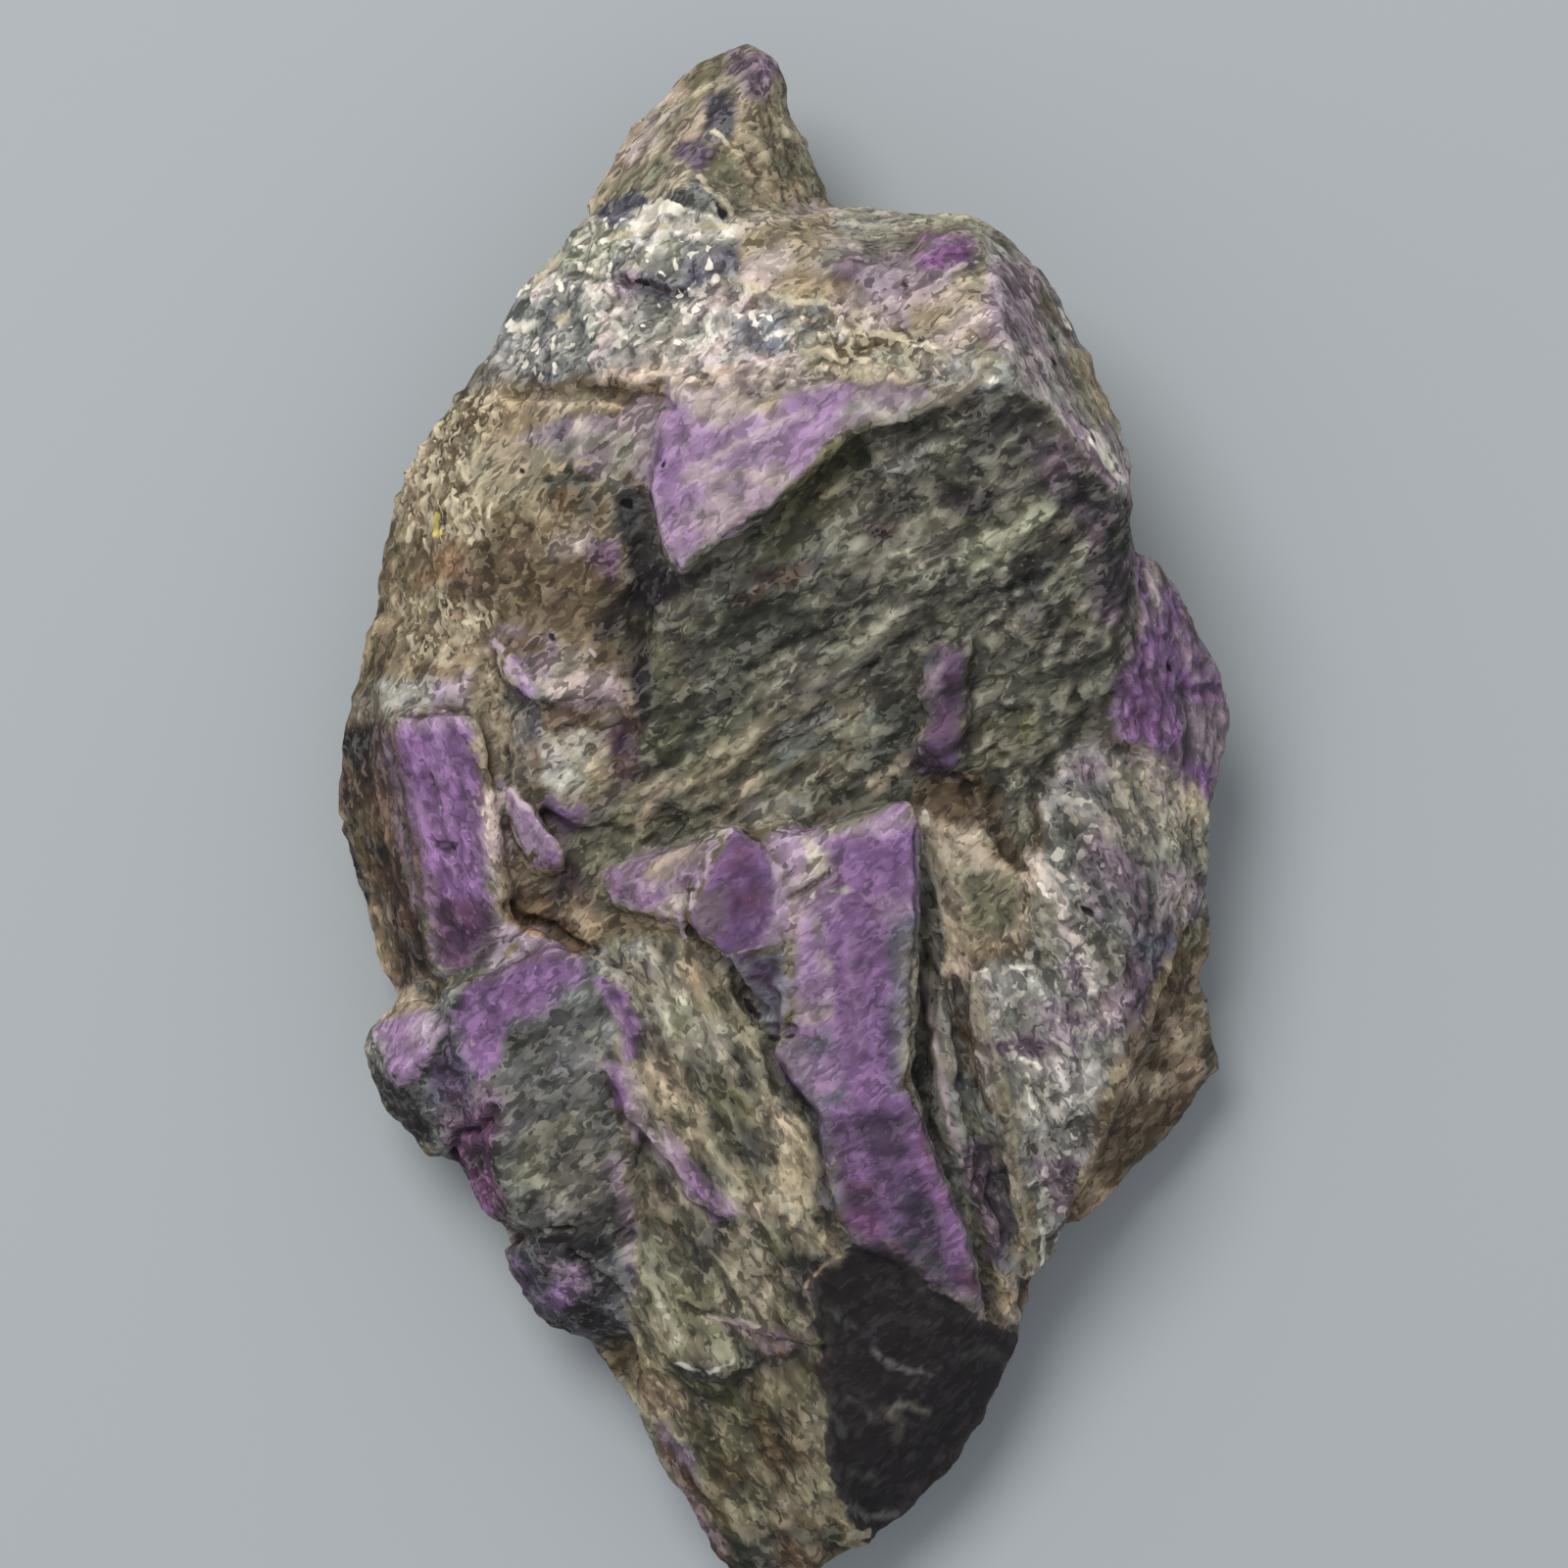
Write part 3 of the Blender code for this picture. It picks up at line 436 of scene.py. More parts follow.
# Crisp patches over the host rock: outline, colour, mottling colour, contrast
PATCHES = (
    ("685,390 760,402 830,392 905,386 940,392 950,408 915,426 885,432 845,454 806,498 785,516 745,544 "
     "720,559 694,584 675,550 662,500 668,440", "lilac", "orchid", 0.7),
    ("940,238 956,236 982,236 1002,256 996,264 975,274 956,285 934,276 928,262 938,252",
     "magenta", "grape", 1.0),
    ("848,268 870,264 880,274 866,284 850,282", "plum", "plum", 0.6),
    ("404,740 418,732 446,724 483,728 487,745 490,790 496,860 500,900 512,930 510,955 488,985 455,996 "
     "440,980 436,930 430,880 420,840 408,790", "purple", "violet", 0.9),
    ("508,658 524,668 540,690 548,712 532,708 514,686", "orchid", "orchid", 0.6),
    ("512,798 530,812 552,838 574,868 568,884 546,878 530,858 518,830", "lilac", "violet", 0.6),
    ("556,812 576,828 600,818 600,842 575,856 562,836", "violet", "violet", 0.7),
    ("454,1034 480,1002 520,986 560,962 590,974 602,1000 580,1012 560,1032 520,1042 510,1082 490,1106 "
     "474,1090 468,1060", "purple", "violet", 0.9),
    ("378,1056 384,1046 402,1030 435,1030 462,1046 444,1074 426,1100 410,1106 394,1090",
     "mist", "orchid", 0.8),
    ("606,1000 640,1004 654,1046 654,1078 640,1084 630,1050 614,1026", "purple", "violet", 0.8),
    ("612,1084 642,1082 656,1108 672,1142 696,1164 714,1190 732,1208 760,1236 738,1246 710,1234 692,1212 "
     "672,1190 648,1166 632,1140 616,1112", "rose", "purple", 0.9),
    ("748,842 766,858 785,872 800,884 802,940 796,966 760,974 735,968 715,952 702,932 716,908 731,880 "
     "739,860", "violet", "violet", 0.45),
    ("738,974 800,972 806,1000 804,1050 786,1060 774,1040 764,1010", "blue_grey", "grape", 0.6),
    ("610,890 640,874 690,862 738,858 726,886 704,906 692,942 666,938 640,928 622,916",
     "blush", "orchid", 0.8),
    ("846,852 900,832 929,814 940,850 936,920 926,1000 921,1100 938,1140 957,1180 978,1230 992,1270 "
     "1001,1325 994,1336 960,1312 925,1283 900,1266 870,1267 854,1240 850,1200 840,1165 830,1128 "
     "808,1112 786,1072 809,1046 810,960 815,912 848,896", "purple", "violet", 0.75),
    ("1156,560 1170,566 1183,576 1202,602 1220,640 1252,700 1262,740 1244,805 1236,824 1214,810 1190,786 "
     "1165,768 1130,758 1138,690 1160,640", "purple", "plum", 0.9),
    ("953,657 988,662 986,709 984,754 974,784 942,782 938,768 948,730 937,704 938,683",
     "wine", "grape", 0.7),
    ("832,1302 856,1281 870,1266 902,1267 930,1286 960,1316 996,1340 1022,1352 1052,1366 1044,1392 "
     "1020,1428 982,1490 974,1506 934,1542 914,1562 884,1580 868,1552 850,1520 840,1480 842,1430 "
     "832,1400 840,1380 828,1340", "black", "black", 0.3),
)

# Repainting inside the patches: outline, colour, mottling colour, softness in pixels
PATCH_AREAS = (
    # the lilac plate
    ("680,386 880,380 860,396 780,420 740,440 700,420", "blush", "rose", 9),
    ("740,400 800,396 790,420 744,420", "sand", "blush", 6),
    ("870,384 960,384 960,420 900,440 850,440", "mauve", "mauve", 8),
    ("720,480 790,468 816,490 780,520 720,520", "lilac", "rose", 7),
    ("690,520 780,505 720,570 692,590", "orchid", "rose", 8),
    ("676,430 692,430 696,500 680,540 664,500", "orchid", "violet", 6),
    ("800,400 870,392 850,430 800,450", "orchid", "orchid", 8),
    # the magenta facet
    ("928,240 966,238 970,250 950,264 926,262", "orchid", "magenta", 4),
    # the left purple block
    ("404,736 486,726 488,742 404,748", "lilac", "orchid", 5),
    ("400,780 420,780 438,900 424,900", "violet", "purple", 6),
    ("430,850 470,850 476,930 444,936", "purple", "purple", 7),
    ("440,920 520,920 512,990 440,996", "grape", "wine", 8),
    ("440,940 470,936 480,985 450,990", "wine", "grape", 6),
    # the wedge beside the nub
    ("524,836 546,846 560,880 540,876", "lilac", "orchid", 4),
    # the wing and the diamond
    ("610,886 652,878 650,926 622,920", "purple", "plum", 6),
    ("654,880 720,858 726,876 690,896 660,900", "sand", "mauve", 6),
    ("702,926 716,906 742,902 744,950 716,952", "plum", "plum", 6),
    ("785,874 804,884 804,944 796,966 774,966 788,934", "mist", "lilac", 4),
    ("740,850 770,870 776,930 750,940 742,900", "violet", "wine", 8),
    # the big plate
    ("846,846 936,824 940,846 850,862", "lilac", "purple", 5),
    ("812,904 864,904 856,934 814,934", "orchid", "plum", 5),
    ("812,918 842,940 846,1040 824,1052 812,1000", "mauve", "rose", 6),
    ("930,664 958,664 962,700 950,740 936,706", "ink", "plum", 5),
    ("930,760 984,764 980,790 936,790", "grape", "violet", 5),
    ("806,930 820,930 850,985 850,1042 804,1046", "orchid", "rose", 4),
    ("890,912 930,920 918,944 892,938", "magenta", "lilac", 5),
    ("908,940 940,930 934,1118 908,1118 906,1000", "steel", "steel", 7),
    ("786,1060 850,1050 870,1130 830,1130", "steel", "orchid", 9),
    ("836,1140 940,1136 960,1200 930,1280 850,1250", "violet", "grape", 14),
    ("850,1204 892,1206 900,1262 862,1262", "wine", "grape", 8),
    ("920,1220 960,1230 970,1310 930,1290", "grape", "ink", 7),
    ("940,1150 964,1190 990,1270 1002,1310 998,1334 974,1310 954,1240 932,1180", "violet", "wine", 5),
    # the right flank
    ("1138,690 1162,690 1192,724 1180,762 1150,750", "purple", "wine", 8),
    ("1166,566 1184,580 1186,640 1174,640", "mauve", "mauve", 5),
    ("1204,718 1250,716 1260,762 1238,796 1214,772", "mauve", "mauve", 7),
    ("1196,784 1246,780 1238,826 1214,818", "purple", "mauve", 6),
    # the blade in the dark face
    ("942,684 962,676 962,716 944,720", "mauve", "plum", 4),
    # the dark facet's rim
    ("826,1300 848,1330 852,1420 838,1480 826,1400", "night", "coal", 8),
)

# Soft strokes on the host rock and the patches: line, half width in pixels, colour, strength
STROKES = (
    # light streaks of the big dark face
    ("852,646 884,628 930,594 1000,552 1060,514", 7, "sage", 0.8),
    ("910,570 932,548 956,530", 5, "sage", 0.8),
    ("1014,628 1018,598 1026,570", 5, "sage", 0.8),
    ("1000,580 1030,552 1050,530 1072,514", 7, "sage", 0.9),
    ("764,690 800,668 836,650", 6, "sage", 0.7),
    ("820,596 850,580 876,552", 5, "sage", 0.6),
    ("700,640 740,620", 6, "reed", 0.5),
    ("790,700 830,676 880,654 920,624", 8, "sage", 0.6),
    ("688,784 720,752 764,718", 6, "sage", 0.7),
    ("640,846 690,800 720,786", 6, "sand", 0.5),
    ("733,843 752,812 776,788", 4, "beige", 0.8),
    ("886,802 910,786 934,772", 5, "sand", 0.7),
    ("796,748 826,740 862,744", 3, "silver", 0.6),
    ("1010,660 1030,630 1044,600", 5, "sage", 0.7),
    ("1084,640 1090,600 1104,560", 5, "sage", 0.6),
    ("1050,730 1070,690 1080,650", 5, "sage", 0.6),
    ("900,480 930,462 960,450", 7, "silver", 0.5),
    ("1008,760 1030,790 1044,830", 6, "sage", 0.6),
    # dark streaks of the big dark face
    ("866,690 900,668 934,642", 7, "coal", 0.6),
    ("1000,634 1016,606 1030,584", 4, "black", 0.5),
    ("818,712 846,704 866,690", 6, "coal", 0.6),
    ("1046,590 1064,560 1090,536", 6, "coal", 0.6),
    ("1050,640 1066,600 1076,572", 6, "ink", 0.6),
    ("780,640 820,622 850,600", 6, "forest", 0.6),
    ("720,720 760,696 800,684", 6, "forest", 0.5),
    ("960,800 990,800 1010,840 1034,880", 6, "peat", 0.6),
    ("878,630 930,600 978,570", 6, "night", 0.5),
    ("980,620 1020,592 1050,560", 6, "coal", 0.6),
    ("740,690 780,664 830,640", 5, "night", 0.4),
    ("660,790 710,744 760,700", 6, "night", 0.6),
    ("1064,680 1072,640 1090,596", 6, "coal", 0.6),
    ("1096,760 1104,700 1120,640", 7, "night", 0.5),
    ("830,800 870,776 920,744", 6, "night", 0.5),
    ("890,770 930,748 950,740", 5, "forest", 0.6),
    # the sliver's outline: painted shadow along its top, painted shade along its right edge, dark purple
    # along its bottom
    ("940,660 966,654 990,662", 4, "black", 0.8),
    ("987,700 985,756", 3, "coal", 0.6),
    ("936,764 946,782 972,788", 5, "grape", 0.8),
    # olive and mid tones of the big face
    ("790,560 820,540 850,510", 12, "moss", 0.6),
    ("660,640 690,690 680,760", 16, "moss", 0.4),
    ("780,740 840,720 900,690", 12, "olive", 0.4),
    ("700,820 780,800 850,780", 12, "olive", 0.4),
    # the horn
    ("603,198 620,172 642,144 652,126", 7, "sand", 0.8),
    ("700,94 708,86 718,82", 5, "cream", 0.7),
    ("640,164 650,152 664,142", 5, "petal", 0.7),
    ("660,128 690,108", 5, "petal", 0.5),
    ("768,112 776,134 786,150", 4, "bark", 0.7),
    ("788,128 800,150 808,172", 4, "bark", 0.6),
    ("752,150 762,176 768,196", 4, "brown", 0.6),
    ("776,172 786,200", 4, "bark", 0.6),
    ("812,180 824,206", 4, "bark", 0.6),
    ("760,130 772,160 790,190", 4, "sand", 0.5),
    ("796,110 816,150 834,190", 4, "sage", 0.5),
    ("976,246 984,254 996,264", 3.5, "grape", 0.9),
    ("944,268 956,280", 4, "grape", 0.6),
    # the lilac plate
    ("690,404 730,398 780,402", 5, "petal", 0.5),
    ("700,482 740,462 790,432 832,420", 4, "petal", 0.5),
    ("700,490 750,482 800,492", 7, "blush", 0.5),
    ("684,424 700,440 736,452", 7, "orchid", 0.6),
    ("860,420 880,412 900,420", 5, "fog", 0.6),
    ("912,424 936,414", 5, "fog", 0.6),
    # the olive face: pale and dark strokes along its grain, then a painted shadow beside the big plate
    ("782,1130 822,1182 846,1236 852,1284", 7, "sand", 0.5),
    ("664,1078 690,1124", 5, "sand", 0.5),
    ("736,1190 760,1240", 5, "sage", 0.5),
    ("790,1210 814,1252", 5, "sage", 0.5),
    ("668,1320 690,1372", 6, "sage", 0.6),
    ("730,1440 746,1490", 5, "tan", 0.6),
    ("706,1030 724,1066", 6, "sage", 0.6),
    ("676,1020 700,1060", 5, "moss", 0.6),
    ("650,1120 680,1172", 5, "moss", 0.6),
    ("700,1110 722,1154", 5, "forest", 0.5),
    ("756,1100 776,1146", 5, "forest", 0.6),
    ("716,1200 742,1252", 6, "forest", 0.6),
    ("766,1196 786,1232", 5, "moss", 0.6),
    ("690,1240 710,1292", 6, "forest", 0.6),
    ("730,1280 756,1334", 6, "forest", 0.6),
    ("784,1298 804,1342", 6, "moss", 0.6),
    ("700,1420 724,1474", 6, "forest", 0.6),
    ("754,1416 772,1480", 6, "forest", 0.6),
    ("794,1440 810,1500", 6, "forest", 0.6),
    ("760,1520 782,1584", 6, "forest", 0.6),
    # painted shadow along the foot of the big plate's left edge
    ("800,1092 816,1122 836,1162 844,1206 852,1252", 6, "coal", 0.9),
    # the lower left block
    ("530,1060 560,1090 580,1130", 6, "forest", 0.5),
    ("556,1150 584,1190 600,1230", 6, "forest", 0.5),
    ("600,1060 616,1100", 5, "sage", 0.5),
    ("540,1190 566,1226", 6, "sage", 0.5),
    # the left slope and the left block
    ("368,850 388,920 404,980", 5, "tan", 0.3),
    ("356,780 372,840 384,900", 5, "bark", 0.7),
    ("444,760 452,830 462,890", 6, "orchid", 0.4),
    ("468,750 476,820 484,880", 5, "violet", 0.7),
    ("424,770 436,840", 5, "violet", 0.6),
    # the big plate and the right flank
    ("866,960 870,1010 878,1060", 8, "orchid", 0.4),
    ("894,1000 898,1060 900,1110", 6, "violet", 0.6),
    ("856,1010 860,1060", 5, "violet", 0.5),
    ("880,1150 900,1190 924,1240", 8, "grape", 0.5),
    ("824,1130 844,1170 856,1230", 8, "steel", 0.6),
    ("800,1086 814,1060 826,1100", 8, "mauve", 0.5),
    ("930,1160 952,1210 976,1270", 7, "purple", 0.7),
    ("910,1250 944,1286 972,1316", 6, "ink", 0.7),
    ("868,1236 890,1250", 8, "magenta", 0.5),
    ("980,1318 992,1328", 6, "rose", 0.7),
    ("1172,570 1178,600 1184,640", 5, "petal", 0.6),
    ("1200,650 1214,670 1222,692", 6, "rose", 0.7),
    ("1180,626 1192,650 1198,684", 6, "violet", 0.8),
    ("1212,740 1234,760 1244,780", 6, "mauve", 0.5),
    # the dark facet's fracture lines, painted with pale highlights
    ("848,1337 862,1348 877,1357", 2.8, "slate", 0.4),
    ("894,1380 907,1390 920,1395 937,1398", 3, "silver", 0.5),
    ("930,1396 951,1407", 2.8, "slate", 0.4),
    ("865,1426 881,1437 892,1447", 2.8, "slate", 0.4),
    ("902,1450 916,1436 930,1435 949,1437", 3, "stone", 0.6),
    ("904,1440 918,1450 916,1466", 6, "face", 0.3),
    ("848,1440 862,1462", 2.5, "slate", 0.5),
    ("864,1498 894,1512", 5, "slate", 0.25),
    ("868,1536 890,1548 912,1544", 4, "slate", 0.6),
    ("990,1384 1012,1378 1030,1396", 7, "slate", 0.2),
    ("930,1300 952,1330 976,1344", 6, "night", 0.7),
    # the lower left blob
    ("586,1281 604,1302 624,1325", 2.5, "black", 0.8),
    ("524,1284 534,1292", 6, "purple", 0.7),
    ("566,1318 580,1330", 7, "purple", 0.6),
    ("560,1286 584,1300 600,1320", 6, "mauve", 0.6),
    ("612,1290 634,1316 640,1344", 8, "slate", 0.7),
    # the horn's ridge
    ("772,80 773,90", 3, "black", 0.8),
    ("776,60 786,70 788,86", 4, "lilac", 0.5),
    ("742,92 732,120 724,140", 8, "ink", 0.6),
    # the laths' dark purple band and pale ridge, and the rim below them
    ("1124,858 1150,900 1180,944", 12, "plum", 0.7),
    ("1152,984 1168,1020 1160,1052", 13, "plum", 0.6),
    ("1046,876 1084,930 1108,990 1122,1046", 6, "petal", 0.5),
    ("1240,1064 1244,1092 1228,1128 1192,1172 1152,1212", 11, "forest", 0.8),
    ("1214,996 1190,1040 1160,1080", 8, "peat", 0.7),
    ("1196,1040 1214,1056 1222,1076", 9, "sand", 0.8),
    ("1172,1106 1194,1110", 9, "sand", 0.9),
    # between the laminae
    ("932,1010 938,1080 952,1142 970,1192", 3, "black", 0.6),
    ("976,1000 992,1080 1010,1150 1032,1240", 3, "black", 0.6),
)

# Crisp thin lines and spots over everything: line, half width in pixels, colour
VEINS = (
    # the horn
    ("728,134 740,145 755,160", 2, "cream"),
    ("714,181 734,200 745,215", 2.5, "cream"),
    ("730,208 740,217", 3, "black"),
    ("650,236 664,216 676,208 692,216", 7, "ivory"),
    ("624,242 650,238 680,230", 4, "cream"),
    ("716,228 740,230", 4, "cream"),
    # white glints of the glittering band
    ("524,302 536,296 550,293", 3, "ivory"),
    ("522,338 534,334 545,329", 4.5, "ivory"),
    ("566,326 580,320", 3, "cream"),
    ("600,298 610,308", 3, "ivory"),
    ("626,330 634,336 640,346", 2.5, "ivory"),
    ("721,324 726,350", 3.5, "ivory"),
    ("738,326 740,340", 2.5, "ivory"),
    ("783,344 806,338", 3, "ivory"),
    ("701,294 709,286", 2.5, "ivory"),
    ("727,284 730,290", 3, "ivory"),
    ("756,304 764,296", 2.5, "ivory"),
    ("586,250 600,241", 2.5, "ivory"),
    ("636,256 646,246", 2.5, "ivory"),
    ("858,346 866,338", 3, "ivory"),
    # painted shadow under the edge of the band's upper shelf
    ("650,288 664,292", 3, "black"),
    # cream veins under the shoulder
    ("759,296 778,296 806,305 832,308 852,317", 3, "cream"),
    ("860,335 900,340 960,353", 2.5, "cream"),
    ("820,360 838,357 858,366 886,368", 3, "cream"),
    ("880,372 930,375", 2, "cream"),
    ("924,352 964,357", 1.5, "ivory"),
    ("548,290 560,272 575,262", 3, "cream"),
    ("920,284 930,300", 2, "peat"),
    ("1000,262 968,280 935,300", 2, "petal"),
    # a painted white glint
    ("1006,392 1014,384", 3, "ivory"),
    # the right slope
    ("1081,315 1086,324 1092,333", 2.5, "ivory"),
    ("1072,342 1078,350", 2, "black"),
    ("1073,366 1078,372", 2, "black"),
    ("1086,411 1094,428 1106,446", 2.5, "mist"),
    ("1112,440 1122,456", 2.5, "ivory"),
    ("1122,456 1134,476", 3.5, "ivory"),
    ("1134,476 1145,494", 2.5, "ivory"),
    # the lilac plate
    ("676,470 678,472", 2, "black"),
    ("748,408 790,402", 1.5, "mauve"),
    # cream crust of the left bulge
    ("495,412 505,400", 3.5, "cream"),
    ("440,435 448,446", 3.5, "cream"),
    ("468,470 476,486", 3.5, "cream"),
    ("430,497 440,486", 3.5, "cream"),
    ("418,548 424,534", 3.5, "cream"),
    ("478,554 486,544", 3.5, "cream"),
    ("496,524 500,516", 3, "cream"),
    ("446,544 450,526", 4, "yellow"),
    ("556,484 580,474 610,474", 2, "sand"),
    ("448,606 462,622", 2.5, "cream"),
    ("474,636 494,632", 2.5, "cream"),
    ("506,690 514,706", 2.5, "sand"),
    # the nub and the wedge
    ("505,655 520,675 540,700", 2.5, "mist"),
    ("600,660 610,667", 2, "petal"),
    ("634,511 642,513", 3.5, "black"),
    ("533,480 535,482", 2.5, "black"),
    ("561,648 562,654", 2, "coal"),
    ("575,742 604,729", 2.5, "black"),
    ("510,800 530,815 552,838", 2.5, "mist"),
    ("516,974 530,962", 3, "sand"),
    # the left and lower left blocks
    ("428,819 436,816 448,823", 2, "petal"),
    ("440,790 444,806 449,818", 2.2, "grape"),
    ("452,868 463,860", 2.5, "grape"),
    ("479,1063 484,1065", 1.5, "petal"),
    ("664,1152 690,1180 706,1200", 1.5, "mist"),
    # the olive face and the dark facet
    ("855,1281 832,1300 816,1320", 2, "sand"),
    ("720,1341 748,1346 775,1352", 2, "blush"),
    ("800,1370 840,1378", 1.5, "sage"),
    ("690,1390 720,1402 750,1391", 2, "fog"),
    ("866,1568 888,1562", 4, "reed"),
    ("552,1266 566,1266 578,1260", 3.5, "black"),
    # painted shadow in the gap between the diamond and the big plate
    ("762,1020 774,1040", 4, "black"),
    ("784,1058 796,1062 808,1058", 3.5, "coal"),
    # the diamond and the wing
    ("740,975 770,968 800,962", 1.5, "lilac"),
    ("746,848 735,865 718,888 702,928", 2, "mist"),
    ("788,880 792,930 786,966", 2, "mist"),
    ("735,866 700,893 660,914", 2, "mist"),
    ("690,930 700,955", 2, "mist"),
    # the big plate
    ("822,926 830,911 850,906 862,911", 1.5, "fog"),
    ("864,906 880,914 896,926 928,926", 2, "lilac"),
    ("872,934 900,944", 1.5, "lilac"),
    # the laths and laminae on the right, with painted white glints on the laths
    ("943,828 947,842", 3, "ivory"),
    ("1000,990 1030,988 1058,986", 2, "ivory"),
    ("1074,806 1088,815 1110,818", 2, "fog"),
    ("1060,876 1072,888 1086,898", 2.5, "petal"),
    ("1062,904 1070,918", 2.5, "ivory"),
    ("1104,928 1110,934", 2, "black"),
    ("1078,1002 1082,1020 1080,1040", 2, "ivory"),
    ("1102,992 1116,1004", 3, "ivory"),
    ("1126,1036 1131,1043", 3, "ivory"),
    ("1042,1082 1060,1090", 2.5, "ivory"),
    ("1048,1100 1052,1116 1056,1132", 2, "ivory"),
    ("1102,1124 1118,1112", 3, "ivory"),
    ("1060,1244 1064,1264 1062,1286", 2, "ivory"),
    ("942,1002 952,1060 962,1120 976,1170 990,1208", 3, "rose"),
    ("947,1030 951,1050 953,1072", 2.5, "petal"),
    ("992,1002 1012,1060 1030,1120 1040,1200 1054,1290", 2.5, "reed"),
    ("1189,670 1194,682", 2.5, "black"),
    ("1208,830 1230,824", 3.5, "cream"),
    ("1239,902 1239,928", 2.5, "cream"),
)

# Cracks: line, depth in millimetres, half width in pixels
CRACKS = (
    ("415,734 445,723 483,728", 0.35, 4),
    ("635,284 665,290 690,298", 0.35, 6),
    ("600,281 635,284", 0.20, 4),
    ("730,207 742,218", 0.25, 6),
    ("515,400 560,404 620,404 650,404 685,412", 0.25, 6),
    ("690,384 760,382 850,384", 0.12, 4),
    ("806,914 822,908 838,899 848,893", 0.30, 4),
    ("505,1130 492,1150 470,1160 465,1180", 0.40, 5),
    ("455,1180 490,1180 480,1206", 0.30, 8),
    ("500,1246 540,1264 585,1254", 0.40, 5),
    ("585,1278 612,1305 642,1332", 0.28, 4),
    ("520,925 560,945 604,972", 0.40, 6),
    ("700,945 740,985 762,1015 780,1050", 0.35, 5),
    ("762,1020 778,1036", 0.50, 9),
    ("788,1054 806,1050", 0.45, 7),
    ("618,1096 638,1144 668,1172 698,1219 738,1250", 0.30, 4),
    ("932,846 936,920 930,1000 930,1100 946,1150 966,1200 990,1260 1006,1330", 0.25, 4),
    ("975,1000 990,1080 1012,1150 1030,1230 1052,1310", 0.15, 4),
    ("700,1335 745,1345 790,1372 840,1378", 0.25, 4),
    ("975,790 1000,830 1040,885", 0.30, 6),
    ("1165,575 1160,640 1166,690", 0.20, 5),
    ("1204,704 1224,708 1246,700", 0.25, 6),
    ("768,76 772,90", 0.20, 5),
    ("450,862 462,868", 0.25, 5),
    ("742,980 752,1012 770,1044", 0.25, 5),
    ("842,352 862,344", 0.20, 6),
    ("556,488 580,482 606,486", 0.15, 5),
    ("1100,924 1110,934", 0.25, 6),
)

# Notches and lobes of the outline: middle, reach and push across, in pixels
PUSHES = (
    ((1232, 996), 22, -13),
    ((1240, 1090), 26, 9),
    ((396, 1020), 20, 8),
    ((792, 74), 20, 5),
    ((806, 112), 18, -5),
)

# Bands of grain: outline, direction in degrees, stretch, depth and wave across in millimetres
GRAINS = (
    ("640,600 790,510 850,440 1040,396 1160,520 1130,770 1045,890 930,820 740,850 600,900 590,860 "
     "630,780", 38, 2.0, 0.10, 0.9),
    ("1010,560 1100,500 1160,560 1150,700 1060,820 1045,890 1000,820", 72, 1.8, 0.10, 0.9),
    ("622,960 700,955 832,1132 858,1280 850,1500 900,1580 850,1650 740,1650 640,1430 660,1180 622,1080",
     -58, 2.0, 0.10, 0.9),
    ("1050,790 1140,760 1240,830 1244,940 1160,1070 1070,1310 1000,990 1046,880", -58, 1.6, 0.09, 0.9),
    ("932,850 970,850 1060,1300 1040,1360 1000,1320 926,1000", -74, 3.0, 0.12, 0.8),
    ("1010,236 1064,276 1156,470 1160,520 1036,392 1018,300", -60, 1.9, 0.06, 0.9),
    ("340,720 404,736 440,990 380,1000 336,800", -72, 1.8, 0.08, 0.8),
    ("404,736 490,730 515,930 450,996", -78, 1.8, 0.07, 0.8),
    ("1156,560 1262,740 1236,824 1130,762", -70, 1.8, 0.08, 0.8),
)

# Grain of the flecks on the big face, and where it runs steeply: direction in degrees, stretch
FACE_GRAIN = (40, 2.1)
STEEP_GRAIN = (-64, 1.9)

# Areas of flat mica flakes and of crumbly cream crust: outline, share
MICA_AREAS = (
    ("536,300 553,262 590,222 640,206 745,214 758,288 850,318 866,350 800,376 690,384 600,386 500,380 "
     "498,360", 1.0),
    ("1060,795 1120,800 1150,900 1110,960 1150,1040 1130,1140 1100,1180 1070,1300 1045,1290 1040,1130 "
     "1004,1000 1050,980 1058,880", 0.45),
    ("990,352 1036,356 1040,396 1000,408", 0.7),
    ("540,742 600,738 612,804 560,808", 0.5),
)
CRUST_AREAS = (
    ("400,520 420,450 470,400 510,396 520,420 480,470 500,550 430,560", 1.0),
    ("488,656 524,664 530,740 516,810 496,800", 0.5),
    ("400,604 506,604 506,664 420,676", 0.8),
    ("752,290 860,306 964,346 1004,384 880,388 800,374 850,330 760,306", 0.7),
    ("1130,770 1225,800 1230,860 1160,860", 0.6),
    ("856,206 1000,212 1010,240 870,240", 0.4),
    ("606,970 660,960 700,1000 650,1016 612,1004", 0.5),
)


def linear(name):
    """A named colour as linear red, green and blue."""
    parts = np.array(COLOURS[name], float) / 255
    return np.where(parts <= 0.04045, parts / 12.92, ((parts + 0.055) / 1.055) ** 2.4)


def opaque(name):
    return (*linear(name), 1.0)


# Noise and measuring in numpy

GRADIENTS = np.array(
    [p for p in itertools.product((-1, 0, 1), repeat=3) if sum(map(abs, p)) == 2], np.float32
)
PLACE_HASHES = (73856093, 19349663, 83492791)
SEED_HASH = 40503
SECOND_HASH = 1274126177
LOW_BITS = 0x7FFFFFFF
FINER = 2.03
LAYER_GAP = 17.3
TINY = 1e-9
FAR = 1e9
MARGIN = 40.0


